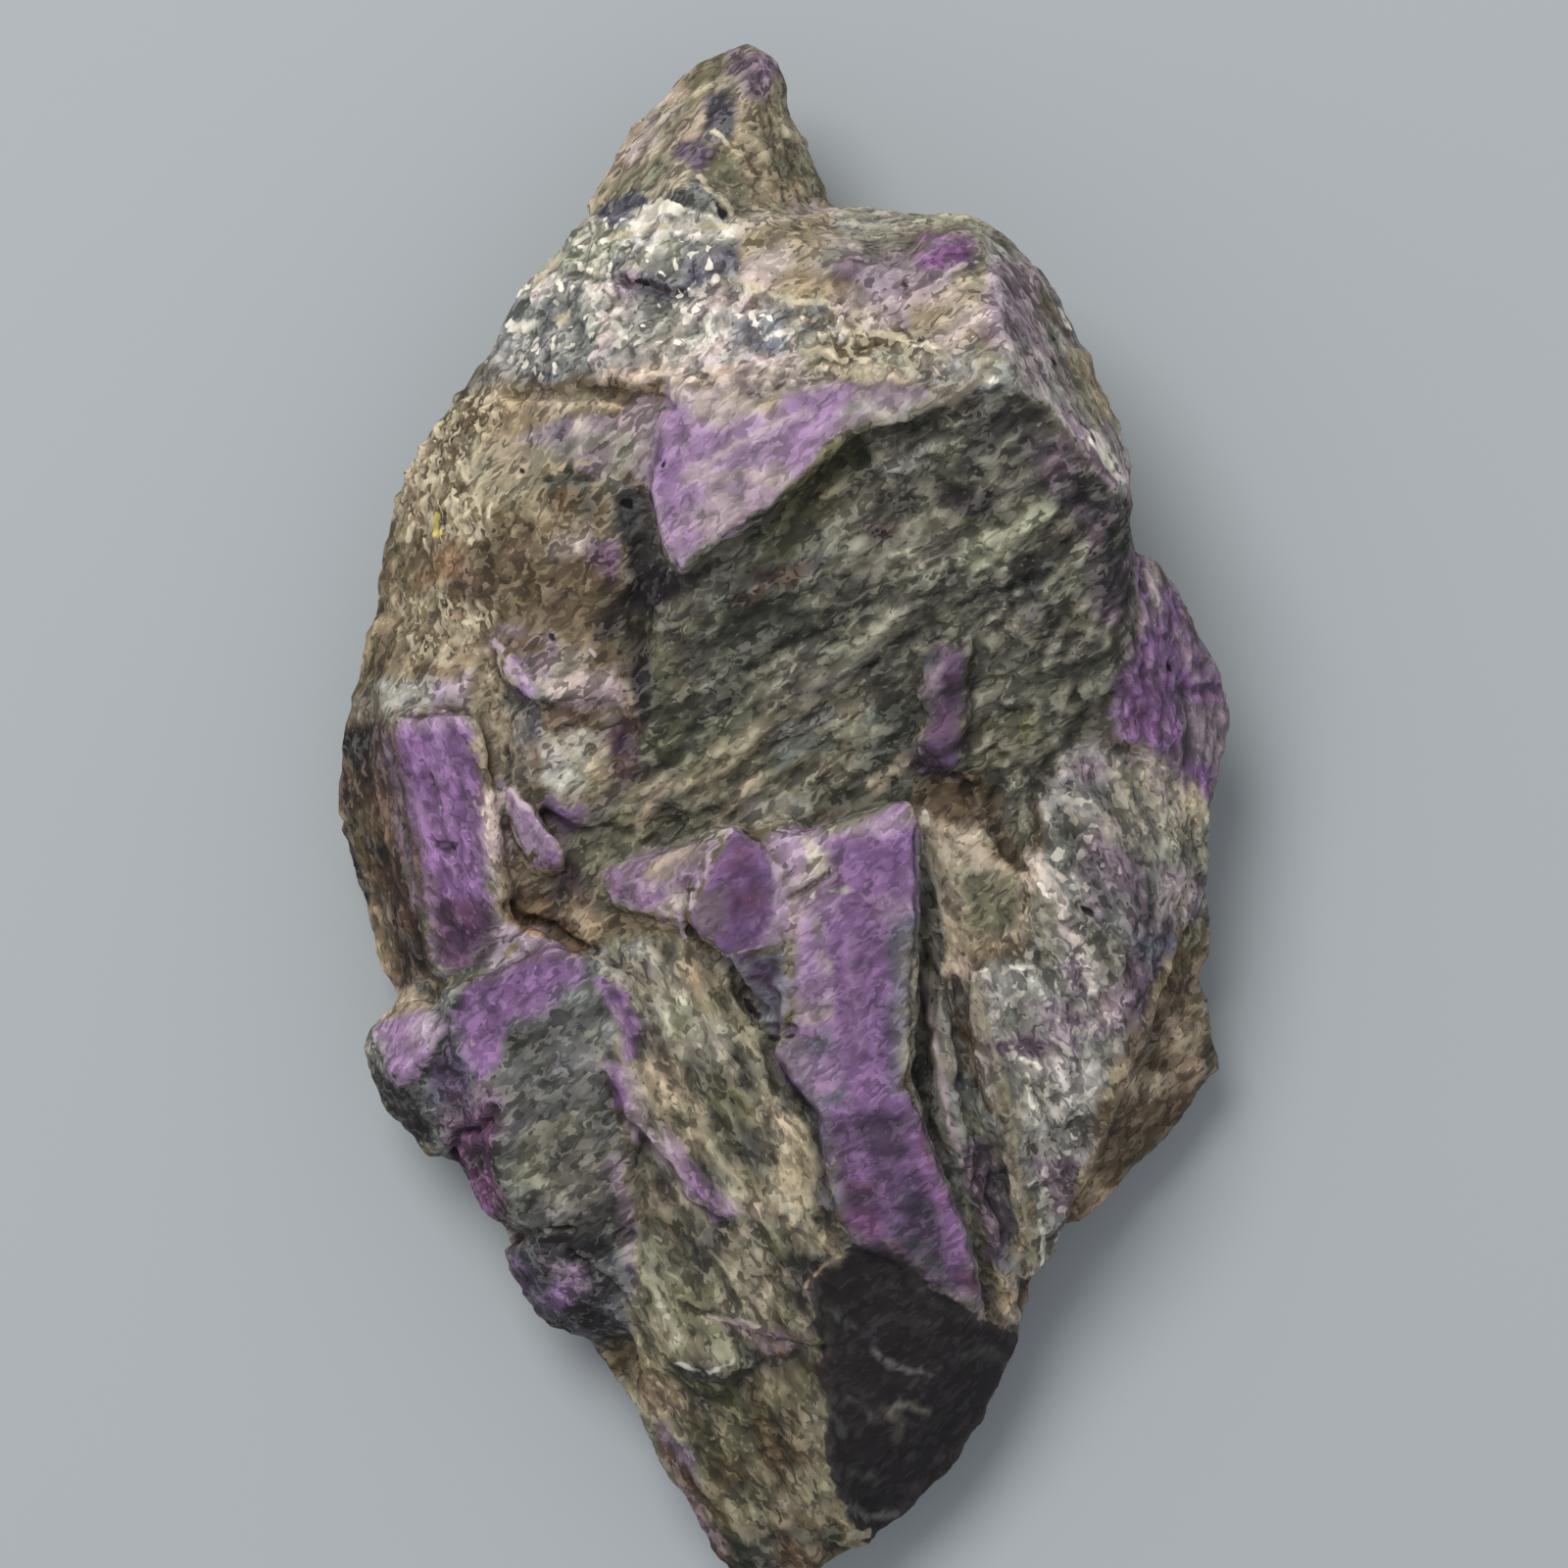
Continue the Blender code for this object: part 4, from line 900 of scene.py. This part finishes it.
def noise(points, seed):
    """Gradient noise from about -1 to 1 with one wave for each unit of length."""
    cell = np.floor(points).astype(np.int64)
    part = (points - cell).astype(np.float32)
    fade = part * part * part * (part * (part * 6 - 15) + 10)
    total = np.zeros(len(points), np.float32)
    for corner in itertools.product((0, 1), repeat=3):
        across, along, up = ((cell + corner) * PLACE_HASHES).T
        mixed = across ^ along ^ up ^ (seed + 1) * SEED_HASH
        mixed = ((mixed ^ (mixed >> 13)) * SECOND_HASH) & LOW_BITS
        mixed = mixed ^ (mixed >> 15)
        slope = GRADIENTS[mixed % len(GRADIENTS)]
        weight = np.prod(np.where(corner, fade, 1 - fade), axis=1)
        total += weight * ((part - np.array(corner, np.float32)) * slope).sum(1)
    return total


def layered(points, seed, layers=3, fall=0.5):
    """Several noises on top of each other, each finer and weaker."""
    total = np.zeros(len(points), np.float32)
    for layer in range(layers):
        total += noise(points * FINER**layer + LAYER_GAP * layer, seed + layer) * fall**layer
    return total


def paired(points, wave, seeds, layers=3):
    """Two noises side by side, which move places about."""
    return np.column_stack([layered(points / wave, seed, layers) for seed in seeds])


def ramp(values, low, high):
    """0 below low, 1 above high and smooth between."""
    share = np.clip((values - low) / (high - low), 0, 1)
    return share * share * (3 - 2 * share)


def read_places(text):
    """The places that a table gives as text."""
    return np.array([pair.split(",") for pair in text.split()], float)


def near(corners, places, margin):
    """Which places are within the margin of the box around some corners."""
    low, high = corners.min(0) - margin, corners.max(0) + margin
    return np.flatnonzero(((places > low) & (places < high)).all(1))


def from_segment(start, end, places):
    """How far places are from a straight stretch."""
    run = end - start
    share = np.clip(((places - start) @ run) / max(run @ run, TINY), 0, 1)
    gap = places - start - share[:, None] * run
    return np.hypot(gap[:, 0], gap[:, 1])


def from_line(line, places):
    """How far places are from a line, MARGIN at most."""
    corners = read_places(line)
    found = np.full(len(places), MARGIN)
    picked = near(corners, places, MARGIN)
    for start, end in zip(corners[:-1], corners[1:]):
        found[picked] = np.minimum(found[picked], from_segment(start, end, places[picked]))
    return found


def within(outline, places, margin=MARGIN):
    """How deep places lie inside an outline; outside it is negative, down to minus the margin."""
    corners = read_places(outline)
    found = np.full(len(places), -margin)
    picked = near(corners, places, margin)
    spots = places[picked]
    gap = np.full(len(spots), FAR)
    inside = np.zeros(len(spots), bool)
    for start, end in zip(corners, np.roll(corners, -1, axis=0)):
        gap = np.minimum(gap, from_segment(start, end, spots))
        spans = (start[1] > spots[:, 1]) != (end[1] > spots[:, 1])
        rise = (end[1] - start[1]) or TINY
        crossing = start[0] + (spots[:, 1] - start[1]) * (end[0] - start[0]) / rise
        inside ^= spans & (spots[:, 0] < crossing)
    found[picked] = np.where(inside, gap, -gap)
    return np.clip(found, -margin, None)


def inside_share(outline, places, soft):
    """1 inside an outline, 0 outside and smooth across its edge."""
    return ramp(within(outline, places), -soft, soft)


def line_share(line, places, width, reach):
    """1 along a line, falling to 0 at its reach, which counts in half widths."""
    return 1 - ramp(from_line(line, places), LINE_CORE * width, reach * width)


def view_places(points):
    """Where points in millimetres are seen in the view, in pixels."""
    reach = PIXEL * (EYE_HEIGHT - points[:, 2]) / (EYE_HEIGHT - MIDDLE_HEIGHT)
    across = VIEW_MIDDLE + (points[:, 0] - VIEW_SHIFT[0]) / reach
    down = VIEW_MIDDLE - (points[:, 1] - VIEW_SHIFT[1]) / reach
    return np.column_stack((across, down))


def squeezed(points, degrees, stretch):
    """The points squeezed along a direction of the view, so that noise on them runs along it."""
    angle = math.radians(degrees)
    way = np.array((math.cos(angle), math.sin(angle), 0.0))
    return points - np.outer(points @ way, way) * (1 - 1 / stretch)


# The lump's fine mesh

def read_rows(items, name, size, kind=np.float32):
    """A property of a mesh's points or edges, one row for each."""
    flat = np.empty(len(items) * size, kind)
    items.foreach_get(name, flat)
    return flat.reshape(-1, size)


def read_points(mesh):
    return read_rows(mesh.vertices, "co", 3).astype(float)


def write_points(mesh, points):
    mesh.vertices.foreach_set("co", points.astype(np.float32).ravel())
    mesh.update()


def read_normals(mesh):
    return read_rows(mesh.vertex_normals, "vector", 3).astype(float)


def edge_ends(mesh):
    return read_rows(mesh.edges, "vertices", 2, np.int32)


def neighbour_mean(values, ends):
    """The mean of each point's neighbours."""
    count = len(values)
    both = np.concatenate((ends[:, 0], ends[:, 1]))
    other = np.concatenate((ends[:, 1], ends[:, 0]))
    share = np.maximum(np.bincount(both, minlength=count), 1)
    return np.column_stack([np.bincount(both, column[other], count) / share for column in values.T])


def smoothed(values, ends, times):
    for _ in range(times):
        values = values + SMOOTHING_SHARE * (neighbour_mean(values, ends) - values)
    return values


def bake_modifiers(obj):
    graph = bpy.context.evaluated_depsgraph_get()
    baked = bpy.data.meshes.new_from_object(obj.evaluated_get(graph))
    obj.modifiers.clear()
    old = obj.data
    obj.data = baked
    bpy.data.meshes.remove(old)


def even_copy():
    """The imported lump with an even, fine mesh."""
    stone = bpy.data.objects.new("stone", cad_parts[NODE].data.copy())
    bpy.context.scene.collection.objects.link(stone)
    stone.data.materials.clear()
    write_points(stone.data, read_points(stone.data) / MM)
    remesh = stone.modifiers.new("even skin", "REMESH")
    remesh.mode = "VOXEL"
    remesh.voxel_size = SKIN_CELL
    bake_modifiers(stone)
    return stone


def streaks(points, places):
    """Broad bands along the grain, from about -1 to 1."""
    band = np.zeros(len(points))
    for number, (outline, degrees, _, _, wave) in enumerate(GRAINS):
        share = inside_share(outline, places, STREAK_FADE)
        picked = np.flatnonzero(share > 0)
        run = squeezed(points[picked], degrees, STREAK_STRETCH) / (STREAK_WAVE * wave)
        band[picked] += share[picked] * STREAK_GAIN * layered(run, 111 + 4 * number, layers=2, fall=0.6)
    return band


def area_share(areas, places):
    """The share that a table of areas gives to each place."""
    found = np.zeros(len(places))
    for outline, share in areas:
        found = np.maximum(found, share * inside_share(outline, places, AREA_FADE))
    return found


def lumps(points, seed):
    """Rounded lumps with sharp creases between them, from about -0.5 to 1."""
    return LUMP_GAIN * np.abs(layered(points, seed, layers=2)) - LUMP_SINK


def ledges(points, seed):
    """Noise cut into flat ledges."""
    high = layered(points, seed, layers=2) * LEDGES
    whole = np.floor(high)
    return (whole + ramp(high - whole, LEDGE_FLAT, 1.0)) / LEDGES


def relief(points, places):
    """How far the skin is raised at each point, in millimetres."""
    rise = SWELL_RISE * layered(points / SWELL_WAVE, 11) + KNOB_RISE * lumps(points / KNOB_WAVE, 15)
    rise = rise + GRIT_RISE * layered(points / GRIT_WAVE, 19, layers=2)
    rise += STREAK_DEPTH * streaks(points, places)
    for number, (outline, degrees, stretch, depth, wave) in enumerate(GRAINS):
        share = inside_share(outline, places, AREA_FADE)
        picked = np.flatnonzero(share > 0)
        run = squeezed(points[picked], degrees, stretch) / wave
        rise[picked] += depth * share[picked] * (lumps(run, 31 + 4 * number) - GRAIN_SINK)
    rise += MICA_RISE * area_share(MICA_AREAS, places) * ledges(points / MICA_WAVE, 131)
    rise += CRUST_RISE * area_share(CRUST_AREAS, places) * lumps(points / CRUST_WAVE, 137)
    for outline, _, _, _ in PATCHES:
        rise += PATCH_RISE * ramp(within(outline, places, PATCH_MARGIN), *PATCH_SLOPE)
    for line, depth, width in CRACKS:
        rise -= depth * line_share(line, places, width, CRACK_REACH)
    return rise


def pushed(points, places):
    """The points, pushed sideways where the outline has a notch or a lobe."""
    for middle, reach, across in PUSHES:
        share = np.exp(-(((places - middle) / reach) ** 2).sum(1))
        points = points + share[:, None] * (across * PIXEL, 0.0, 0.0)
    return points


def carve(stone):
    """Puts the grain, the raised patches and the cracks into the even skin."""
    mesh = stone.data
    ends = edge_ends(mesh)
    points = smoothed(read_points(mesh), ends, SKIN_SMOOTHINGS)
    write_points(mesh, points)
    ways = smoothed(read_normals(mesh), ends, WAY_SMOOTHINGS)
    ways /= np.linalg.norm(ways, axis=1)[:, None]
    places = view_places(points) + paired(points, RELIEF_DRIFT_WAVE, (51, 57)) * RELIEF_DRIFT
    seen = ramp(ways[:, 2], *CARVED_TILTS)
    rise = relief(points, places)
    plain = PLAIN_SWELL_RISE * layered(points / PLAIN_SWELL_WAVE, 11)
    plain = plain + PLAIN_KNOB_RISE * lumps(points / PLAIN_KNOB_WAVE, 15)
    lift = (seen * rise + (1 - seen) * plain) * ramp(points[:, 2], *CARVED_HEIGHTS)
    points = pushed(points + ways * lift[:, None], places)
    points[:, 2] = np.where(points[:, 2] < FLAT_HEIGHT, 0.0, points[:, 2])
    low, high = np.array(CAD_BOX[0]) / MM, np.array(CAD_BOX[1]) / MM
    write_points(mesh, np.clip(points, low, high + (0, 0, TOP_ROOM)))


def thin_out(stone):
    """Brings the skin down to its number of triangles, fewer of them underneath."""
    group = stone.vertex_groups.new(name="spare")
    tilts = read_normals(stone.data)[:, 2]
    group.add(np.flatnonzero(tilts >= SPARE_TILT).tolist(), 0.5, "REPLACE")
    group.add(np.flatnonzero(tilts < SPARE_TILT).tolist(), 1.0, "REPLACE")
    thinner = stone.modifiers.new("thin out", "DECIMATE")
    thinner.ratio = SKIN_TRIANGLES / (2 * len(stone.data.polygons))
    thinner.vertex_group = group.name
    thinner.vertex_group_factor = SPARE_FACTOR
    thinner.use_collapse_triangulate = True
    bake_modifiers(stone)
    stone.vertex_groups.clear()


# Colours on the points

def store(mesh, name, values):
    """Keeps one value, or one colour or vector, for each point of the mesh."""
    single = values.ndim == 1
    layer = mesh.attributes.new(name, "FLOAT" if single else "FLOAT_VECTOR", "POINT")
    layer.data.foreach_set("value" if single else "vector", values.astype(np.float32).ravel())


def blend(under, over, share):
    return under + share[:, None] * (over - under)


def plain_colours(names, count):
    """The named colours, each for a number of points."""
    return [np.tile(linear(name), (count, 1)) for name in names]


def tinge(points, seed):
    """Slow drifts of lightness, of warmth and between purple and green, as factors of a colour."""
    light = layered(points / LIGHT_WAVE, seed) * LIGHT_DRIFT
    warmth = layered(points / WARMTH_WAVE, seed + 5) * WARMTH_DRIFT
    bloom = layered(points / BLOOM_WAVE, seed + 9) * BLOOM_DRIFT
    return 1 + np.column_stack((light + warmth + RED_BLOOM * bloom, light - bloom, light - warmth + bloom))


def add_areas(areas, main, other, places, seen=1.0):
    """Paints a table of soft areas over a pair of colours."""
    for outline, colour, mottling, soft in areas:
        share = inside_share(outline, places, soft) * seen
        main = blend(main, linear(colour), share)
        other = blend(other, linear(mottling), share)
    return main, other


def add_strokes(main, other, places, seen):
    """Paints the soft strokes over a pair of colours."""
    for line, width, colour, strength in STROKES:
        share = strength * seen * line_share(line, places, width, STROKE_REACH)
        main = blend(main, linear(colour), share)
        other = blend(other, linear(colour), share)
    return main, other


def paint_host(points, places, seen):
    """The host rock's two colours at each point."""
    main, other = plain_colours(("stone", "bark"), len(points))
    main, other = add_areas(HOST_AREAS, main, other, places, seen)
    main, other = add_strokes(main, other, places, seen)
    drift = tinge(points, 121)
    return main * drift, other * drift


def paint_patches(points, places, seen):
    """The patches' two colours, how deep inside a patch each point is, in millimetres, and the contrast."""
    main, other = plain_colours(("purple", "violet"), len(points))
    contrast = np.ones(len(points))
    depth = np.full(len(points), -MARGIN)
    for outline, colour, mottling, strength in PATCHES:
        inside = within(outline, places)
        deeper = inside > depth
        main[deeper] = linear(colour)
        other[deeper] = linear(mottling)
        contrast[inside > 0] = strength
        depth = np.maximum(depth, inside)
    main, other = add_areas(PATCH_AREAS, main, other, places)
    main, other = add_strokes(main, other, places, seen)
    hidden = SPOT_GAIN * layered(points / SPOT_WAVE, 71) - SPOT_SINK
    cover = np.where(seen > PATCH_SEEN, np.clip(depth * PIXEL, -1, 1), np.clip(hidden, -1, 1))
    return main, other, cover, contrast


def paint_veins(places, seen):
    """The veins' colour, and how deep inside a vein each point is, in millimetres."""
    tint = plain_colours(("cream",), len(places))[0]
    depth = np.full(len(places), -MARGIN)
    for line, width, colour in VEINS:
        inside = width - from_line(line, places)
        deeper = inside > depth
        tint[deeper] = linear(colour)
        depth = np.maximum(depth, inside)
    return tint, np.where(seen > VEIN_SEEN, np.clip(depth * PIXEL, -1, 1), -1)


def cross_share(places, seen):
    """How far the grain runs steeply, as against along the big face's streaks."""
    found = np.zeros(len(places))
    for outline, degrees, _, _, _ in GRAINS:
        if degrees < 0:
            found = np.maximum(found, inside_share(outline, places, CROSS_FADE) * seen)
    return found


def hollowness(points, normals, ends):
    """How far each point lies below its surroundings, in millimetres."""
    wide = smoothed(points, ends, HOLLOW_SMOOTHINGS) - points
    return (wide * normals).sum(1)


def paint(stone):
    """Keeps on the points all that the stone's material reads."""
    mesh = stone.data
    ends = edge_ends(mesh)
    points = read_points(mesh)
    normals = read_normals(mesh)
    seen = ramp(smoothed(normals, ends, TILT_SMOOTHINGS)[:, 2], *PAINTED_TILTS)
    slow = paired(points, SLOW_WAVE, (81, 87))
    quick = paired(points, QUICK_WAVE, (93, 97), layers=2)
    places = view_places(points)
    loose = places + slow * LOOSE_DRIFT + quick * QUICK_DRIFT
    loose = loose + paired(points, BROAD_WAVE, (61, 67)) * BROAD_DRIFT
    places = places + slow * CLOSE_DRIFT + quick * QUICK_DRIFT
    host_main, host_other = paint_host(points, loose, seen)
    patch_main, patch_other, cover, contrast = paint_patches(points, places, seen)
    vein_tint, vein_depth = paint_veins(places, seen)
    layers = {
        "host_main": host_main,
        "host_other": host_other,
        "patch_main": patch_main,
        "patch_other": patch_other,
        "patch_depth": cover,
        "contrast": contrast,
        "streak": streaks(points, places),
        "vein_tint": vein_tint,
        "vein_depth": vein_depth,
        "mica": area_share(MICA_AREAS, loose) * seen,
        "crust": area_share(CRUST_AREAS, loose) * seen,
        "plain": points,
        "along": squeezed(points, *FACE_GRAIN),
        "steep": squeezed(points, *STEEP_GRAIN),
        "steepness": cross_share(places, seen),
        "hollow": hollowness(points, normals, ends),
    }
    for name, values in layers.items():
        store(mesh, name, values)


# Materials

class Graph:
    """Builds a material's nodes, each with its inputs given by name."""

    def __init__(self, material):
        self.tree = material.node_tree

    def node(self, kind, inputs=(), **settings):
        made = self.tree.nodes.new("ShaderNode" + kind)
        for name, value in settings.items():
            setattr(made, name, value)
        for name, value in dict(inputs).items():
            self.feed(made.inputs[name], value)
        return made

    def feed(self, socket, value):
        if isinstance(value, bpy.types.NodeSocket):
            self.tree.links.new(value, socket)
        else:
            socket.default_value = value

    def value(self, name):
        return self.node("Attribute", attribute_name=name).outputs["Fac"]

    def vector(self, name):
        return self.node("Attribute", attribute_name=name).outputs["Vector"]

    def calculated(self, kind, operation, *values):
        made = self.node(kind, operation=operation)
        for socket, value in zip(made.inputs, values):
            self.feed(socket, value)
        return made.outputs[0]

    def add(self, first, second):
        return self.calculated("Math", "ADD", first, second)

    def times(self, first, second):
        return self.calculated("Math", "MULTIPLY", first, second)

    def times_add(self, first, second, third):
        return self.calculated("Math", "MULTIPLY_ADD", first, second, third)

    def noise(self, place, scale, detail, roughness=0.5):
        inputs = {"Vector": place, "Scale": scale, "Detail": detail, "Roughness": roughness}
        return self.node("TexNoise", inputs).outputs[0]

    def step(self, value, low, high, bottom=0.0, top=1.0):
        inputs = {"Value": value, "From Min": low, "From Max": high, "To Min": bottom, "To Max": top}
        return self.node("MapRange", inputs, interpolation_type="SMOOTHSTEP").outputs[0]

    def blend(self, share, first, second):
        return self.node("Mix", {"Factor": share, "A": first, "B": second}).outputs[0]

    def mix(self, share, first, second):
        made = self.node("Mix", data_type="RGBA")
        colours = [socket for socket in made.inputs if socket.type == "RGBA"]
        self.feed(made.inputs[0], share)
        self.feed(colours[0], first)
        self.feed(colours[1], second)
        return made.outputs[2]

    def dim(self, colour, factor):
        made = self.node("VectorMath", operation="SCALE")
        self.feed(made.inputs[0], colour)
        self.feed(made.inputs["Scale"], factor)
        return made.outputs[0]

    def shaken(self, place, amount):
        """The place moved about by noise, by up to about half the amount."""
        inputs = {"Vector": place, "Scale": SHAKE_SCALE, "Detail": 1.0}
        drift = self.node("TexNoise", inputs).outputs["Color"]
        centred = self.calculated("VectorMath", "SUBTRACT", drift, (0.5, 0.5, 0.5))
        return self.calculated("VectorMath", "MULTIPLY_ADD", centred, (amount, amount, amount), place)

    def cells(self, place, scale):
        """A Voronoi pattern's cells: their middles, and three random numbers for each."""
        made = self.node("TexVoronoi", {"Vector": place, "Scale": scale})
        return made.outputs["Position"], self.node("SeparateColor", {"Color": made.outputs["Color"]}).outputs


def new_material(name):
    material = bpy.data.materials.new(name)
    material.use_nodes = True
    return material, Graph(material), material.node_tree.nodes["Principled BSDF"]


def cover_share(graph, jitter):
    """How far the purple mineral covers the host rock, and the strength of the flecks."""
    depth = graph.value("patch_depth")
    contrast = graph.value("contrast")
    solid = graph.step(graph.add(depth, jitter), *STEPS["solid"])
    inner = graph.times_add(jitter, DUST_JITTER, depth)
    dust = graph.times(graph.step(inner, *STEPS["dust depth"]), graph.step(contrast, *STEPS["dust share"]))
    cover = graph.times(solid, graph.calculated("Math", "SUBTRACT", 1.0, dust))
    return cover, graph.times(contrast, graph.step(solid, *STEPS["solid contrast"]))


def flecked(graph, colour, cover, tone, contrast):
    """The colour with paler and darker flecks, each with a little of a tint of its own."""
    found = []
    for factor, on_host, on_patch in ((PALER, "fog", "mist"), (DARKER, "black", "grape")):
        tint = graph.mix(cover, opaque(on_host), opaque(on_patch))
        found.append(graph.mix(TINT_SHARE, graph.dim(colour, factor), tint))
    pale, dark = found
    above = graph.times(graph.step(tone, *STEPS["pale"]), contrast)
    below = graph.times(graph.step(tone, *STEPS["dark"]), contrast)
    return graph.mix(above, graph.mix(below, colour, dark), pale)


def flaky(graph, colour, flake):
    """The colour broken into mica flakes, a few of them painted as bright white glints."""
    flakes = graph.dim(colour, graph.step(flake[0], *STEPS["flake"]))
    flakes = graph.mix(graph.step(flake[1], *STEPS["glint"]), flakes, opaque("ivory"))
    return graph.mix(graph.value("mica"), colour, flakes)


def crumbly(graph, colour, place):
    """The colour under crumbs of cream and brown crust."""
    crumb = graph.cells(place, CRUMB_SCALE)[1]
    crumbs = graph.mix(graph.step(crumb[0], *STEPS["cream crumb"]), colour, opaque("cream"))
    crumbs = graph.mix(graph.step(crumb[1], *STEPS["brown crumb"]), crumbs, opaque("bark"))
    return graph.mix(graph.value("crust"), colour, crumbs)


def stone_material():
    """Host rock and purple mineral, then flecks, mica, crust and veins over both, then painted shade and
    dirt in hollows and wear on raised points.
    """
    material, graph, shader = new_material("purpurite ore")
    steepness = graph.value("steepness")
    grains = [graph.vector("along"), graph.vector("steep")]
    loose = [graph.shaken(place, FLECK_SHAKE) for place in grains]
    flecks = [graph.cells(place, FLECK_SCALE) for place in loose]
    middles = [middle for middle, _ in flecks]
    chance = graph.blend(steepness, *[numbers[0] for _, numbers in flecks])

    def grained(places, kind):
        return graph.blend(steepness, *[graph.noise(place, *kind) for place in places])

    def toned(medium, clump):
        return graph.times_add(medium, MEDIUM_SHARE, graph.times(clump, 1 - MEDIUM_SHARE))

    medium = grained(grains, MEDIUM)
    clump = grained(grains, CLUMP)
    mottle = graph.step(grained(grains, COARSE), *STEPS["mottle"])
    host = graph.mix(mottle, graph.vector("host_main"), graph.vector("host_other"))
    patch = graph.mix(mottle, graph.vector("patch_main"), graph.vector("patch_other"))
    jitter = graph.times_add(medium, JITTER, -JITTER / 2)
    jitter = graph.times_add(clump, JITTER, graph.add(jitter, -JITTER / 2))
    cover, contrast = cover_share(graph, jitter)
    colour = graph.mix(cover, host, patch)

    flat = toned(grained(middles, MEDIUM), grained(middles, CLUMP))
    flat = graph.times_add(graph.calculated("Math", "SUBTRACT", chance, 0.5), CHANCE_SHARE, flat)
    tone = graph.blend(FLAT_SHARE, toned(medium, clump), flat)
    tone = graph.times_add(graph.value("streak"), STREAK_TONE, tone)
    colour = flecked(graph, colour, cover, tone, contrast)

    flake = graph.cells(graph.shaken(graph.vector("plain"), FLAKE_SHAKE), FLAKE_SCALE)[1]
    colour = flaky(graph, colour, flake)
    colour = crumbly(graph, colour, loose[1])
    vein_edge = graph.times_add(jitter, VEIN_JITTER, graph.value("vein_depth"))
    colour = graph.mix(graph.step(vein_edge, *STEPS["vein"]), colour, graph.vector("vein_tint"))

    # Painted shade: points below their surroundings are darkened as shade in hollows, partly also as dirt,
    # and raised points are lightened as wear
    shade_and_wear = graph.step(graph.value("hollow"), *STEPS["shade_and_wear"])
    fine = graph.step(graph.noise(graph.vector("plain"), *GRIT), *STEPS["fine"])
    graph.feed(shader.inputs["Base Color"], graph.dim(colour, graph.times(shade_and_wear, fine)))
    graph.feed(shader.inputs["Roughness"], graph.step(graph.value("mica"), *STEPS["roughness"]))
    shader.inputs["Specular IOR Level"].default_value = STONE_SPECULAR
    height = graph.times_add(medium, MEDIUM_HEIGHT, clump)
    height = graph.times_add(graph.times(flake[2], graph.value("mica")), FLAKE_HEIGHT, height)
    bump = graph.node("Bump", {"Strength": BUMP_STRENGTH, "Distance": BUMP_DISTANCE, "Height": height})
    graph.feed(shader.inputs["Normal"], bump.outputs[0])
    return material


def floor_material():
    material, _, shader = new_material("pale table")
    shader.inputs["Base Color"].default_value = opaque("pebble")
    shader.inputs["Roughness"].default_value = FLOOR_ROUGHNESS
    return material


# The scene

def add_floor():
    mesh = bpy.data.meshes.new("floor")
    corners = [(x * FLOOR_HALF, y * FLOOR_HALF, 0.0) for x, y in ((-1, -1), (1, -1), (1, 1), (-1, 1))]
    mesh.from_pydata(corners, [], [(0, 1, 2, 3)])
    floor = bpy.data.objects.new("floor", mesh)
    bpy.context.scene.collection.objects.link(floor)
    mesh.materials.append(floor_material())


def add_key_light():
    light = bpy.data.lights.new("key", "AREA")
    light.shape = "DISK"
    light.size = KEY_SIZE
    light.energy = KEY_WATTS
    light.color = KEY_COLOUR
    obj = bpy.data.objects.new("key", light)
    bpy.context.scene.collection.objects.link(obj)
    obj.location = KEY_PLACE
    obj.rotation_euler = (Vector(KEY_TARGET) - obj.location).to_track_quat("-Z", "Y").to_euler()


def add_sky():
    world = bpy.data.worlds.new("studio")
    world.use_nodes = True
    back = world.node_tree.nodes["Background"]
    back.inputs["Color"].default_value = SKY_COLOUR
    back.inputs["Strength"].default_value = SKY_STRENGTH
    bpy.context.scene.world = world


def add_camera():
    camera = bpy.data.cameras.new("camera")
    camera.sensor_width = FILM
    camera.lens = FILM * (EYE_HEIGHT - MIDDLE_HEIGHT) / (VIEW_SIDE * PIXEL)
    camera.clip_start = NEAREST
    obj = bpy.data.objects.new("camera", camera)
    bpy.context.scene.collection.objects.link(obj)
    obj.location = (VIEW_SHIFT[0] * MM, VIEW_SHIFT[1] * MM, EYE_HEIGHT * MM)
    bpy.context.scene.camera = obj


def build_stone():
    stone = even_copy()
    carve(stone)
    thin_out(stone)
    paint(stone)
    write_points(stone.data, read_points(stone.data) * MM)
    stone.data.shade_smooth()
    stone.data.materials.append(stone_material())
    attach(stone, "root")
    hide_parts(NODE)


add_camera()
add_key_light()
add_sky()
add_floor()
build_stone()
bpy.context.scene.view_settings.view_transform = "Standard"
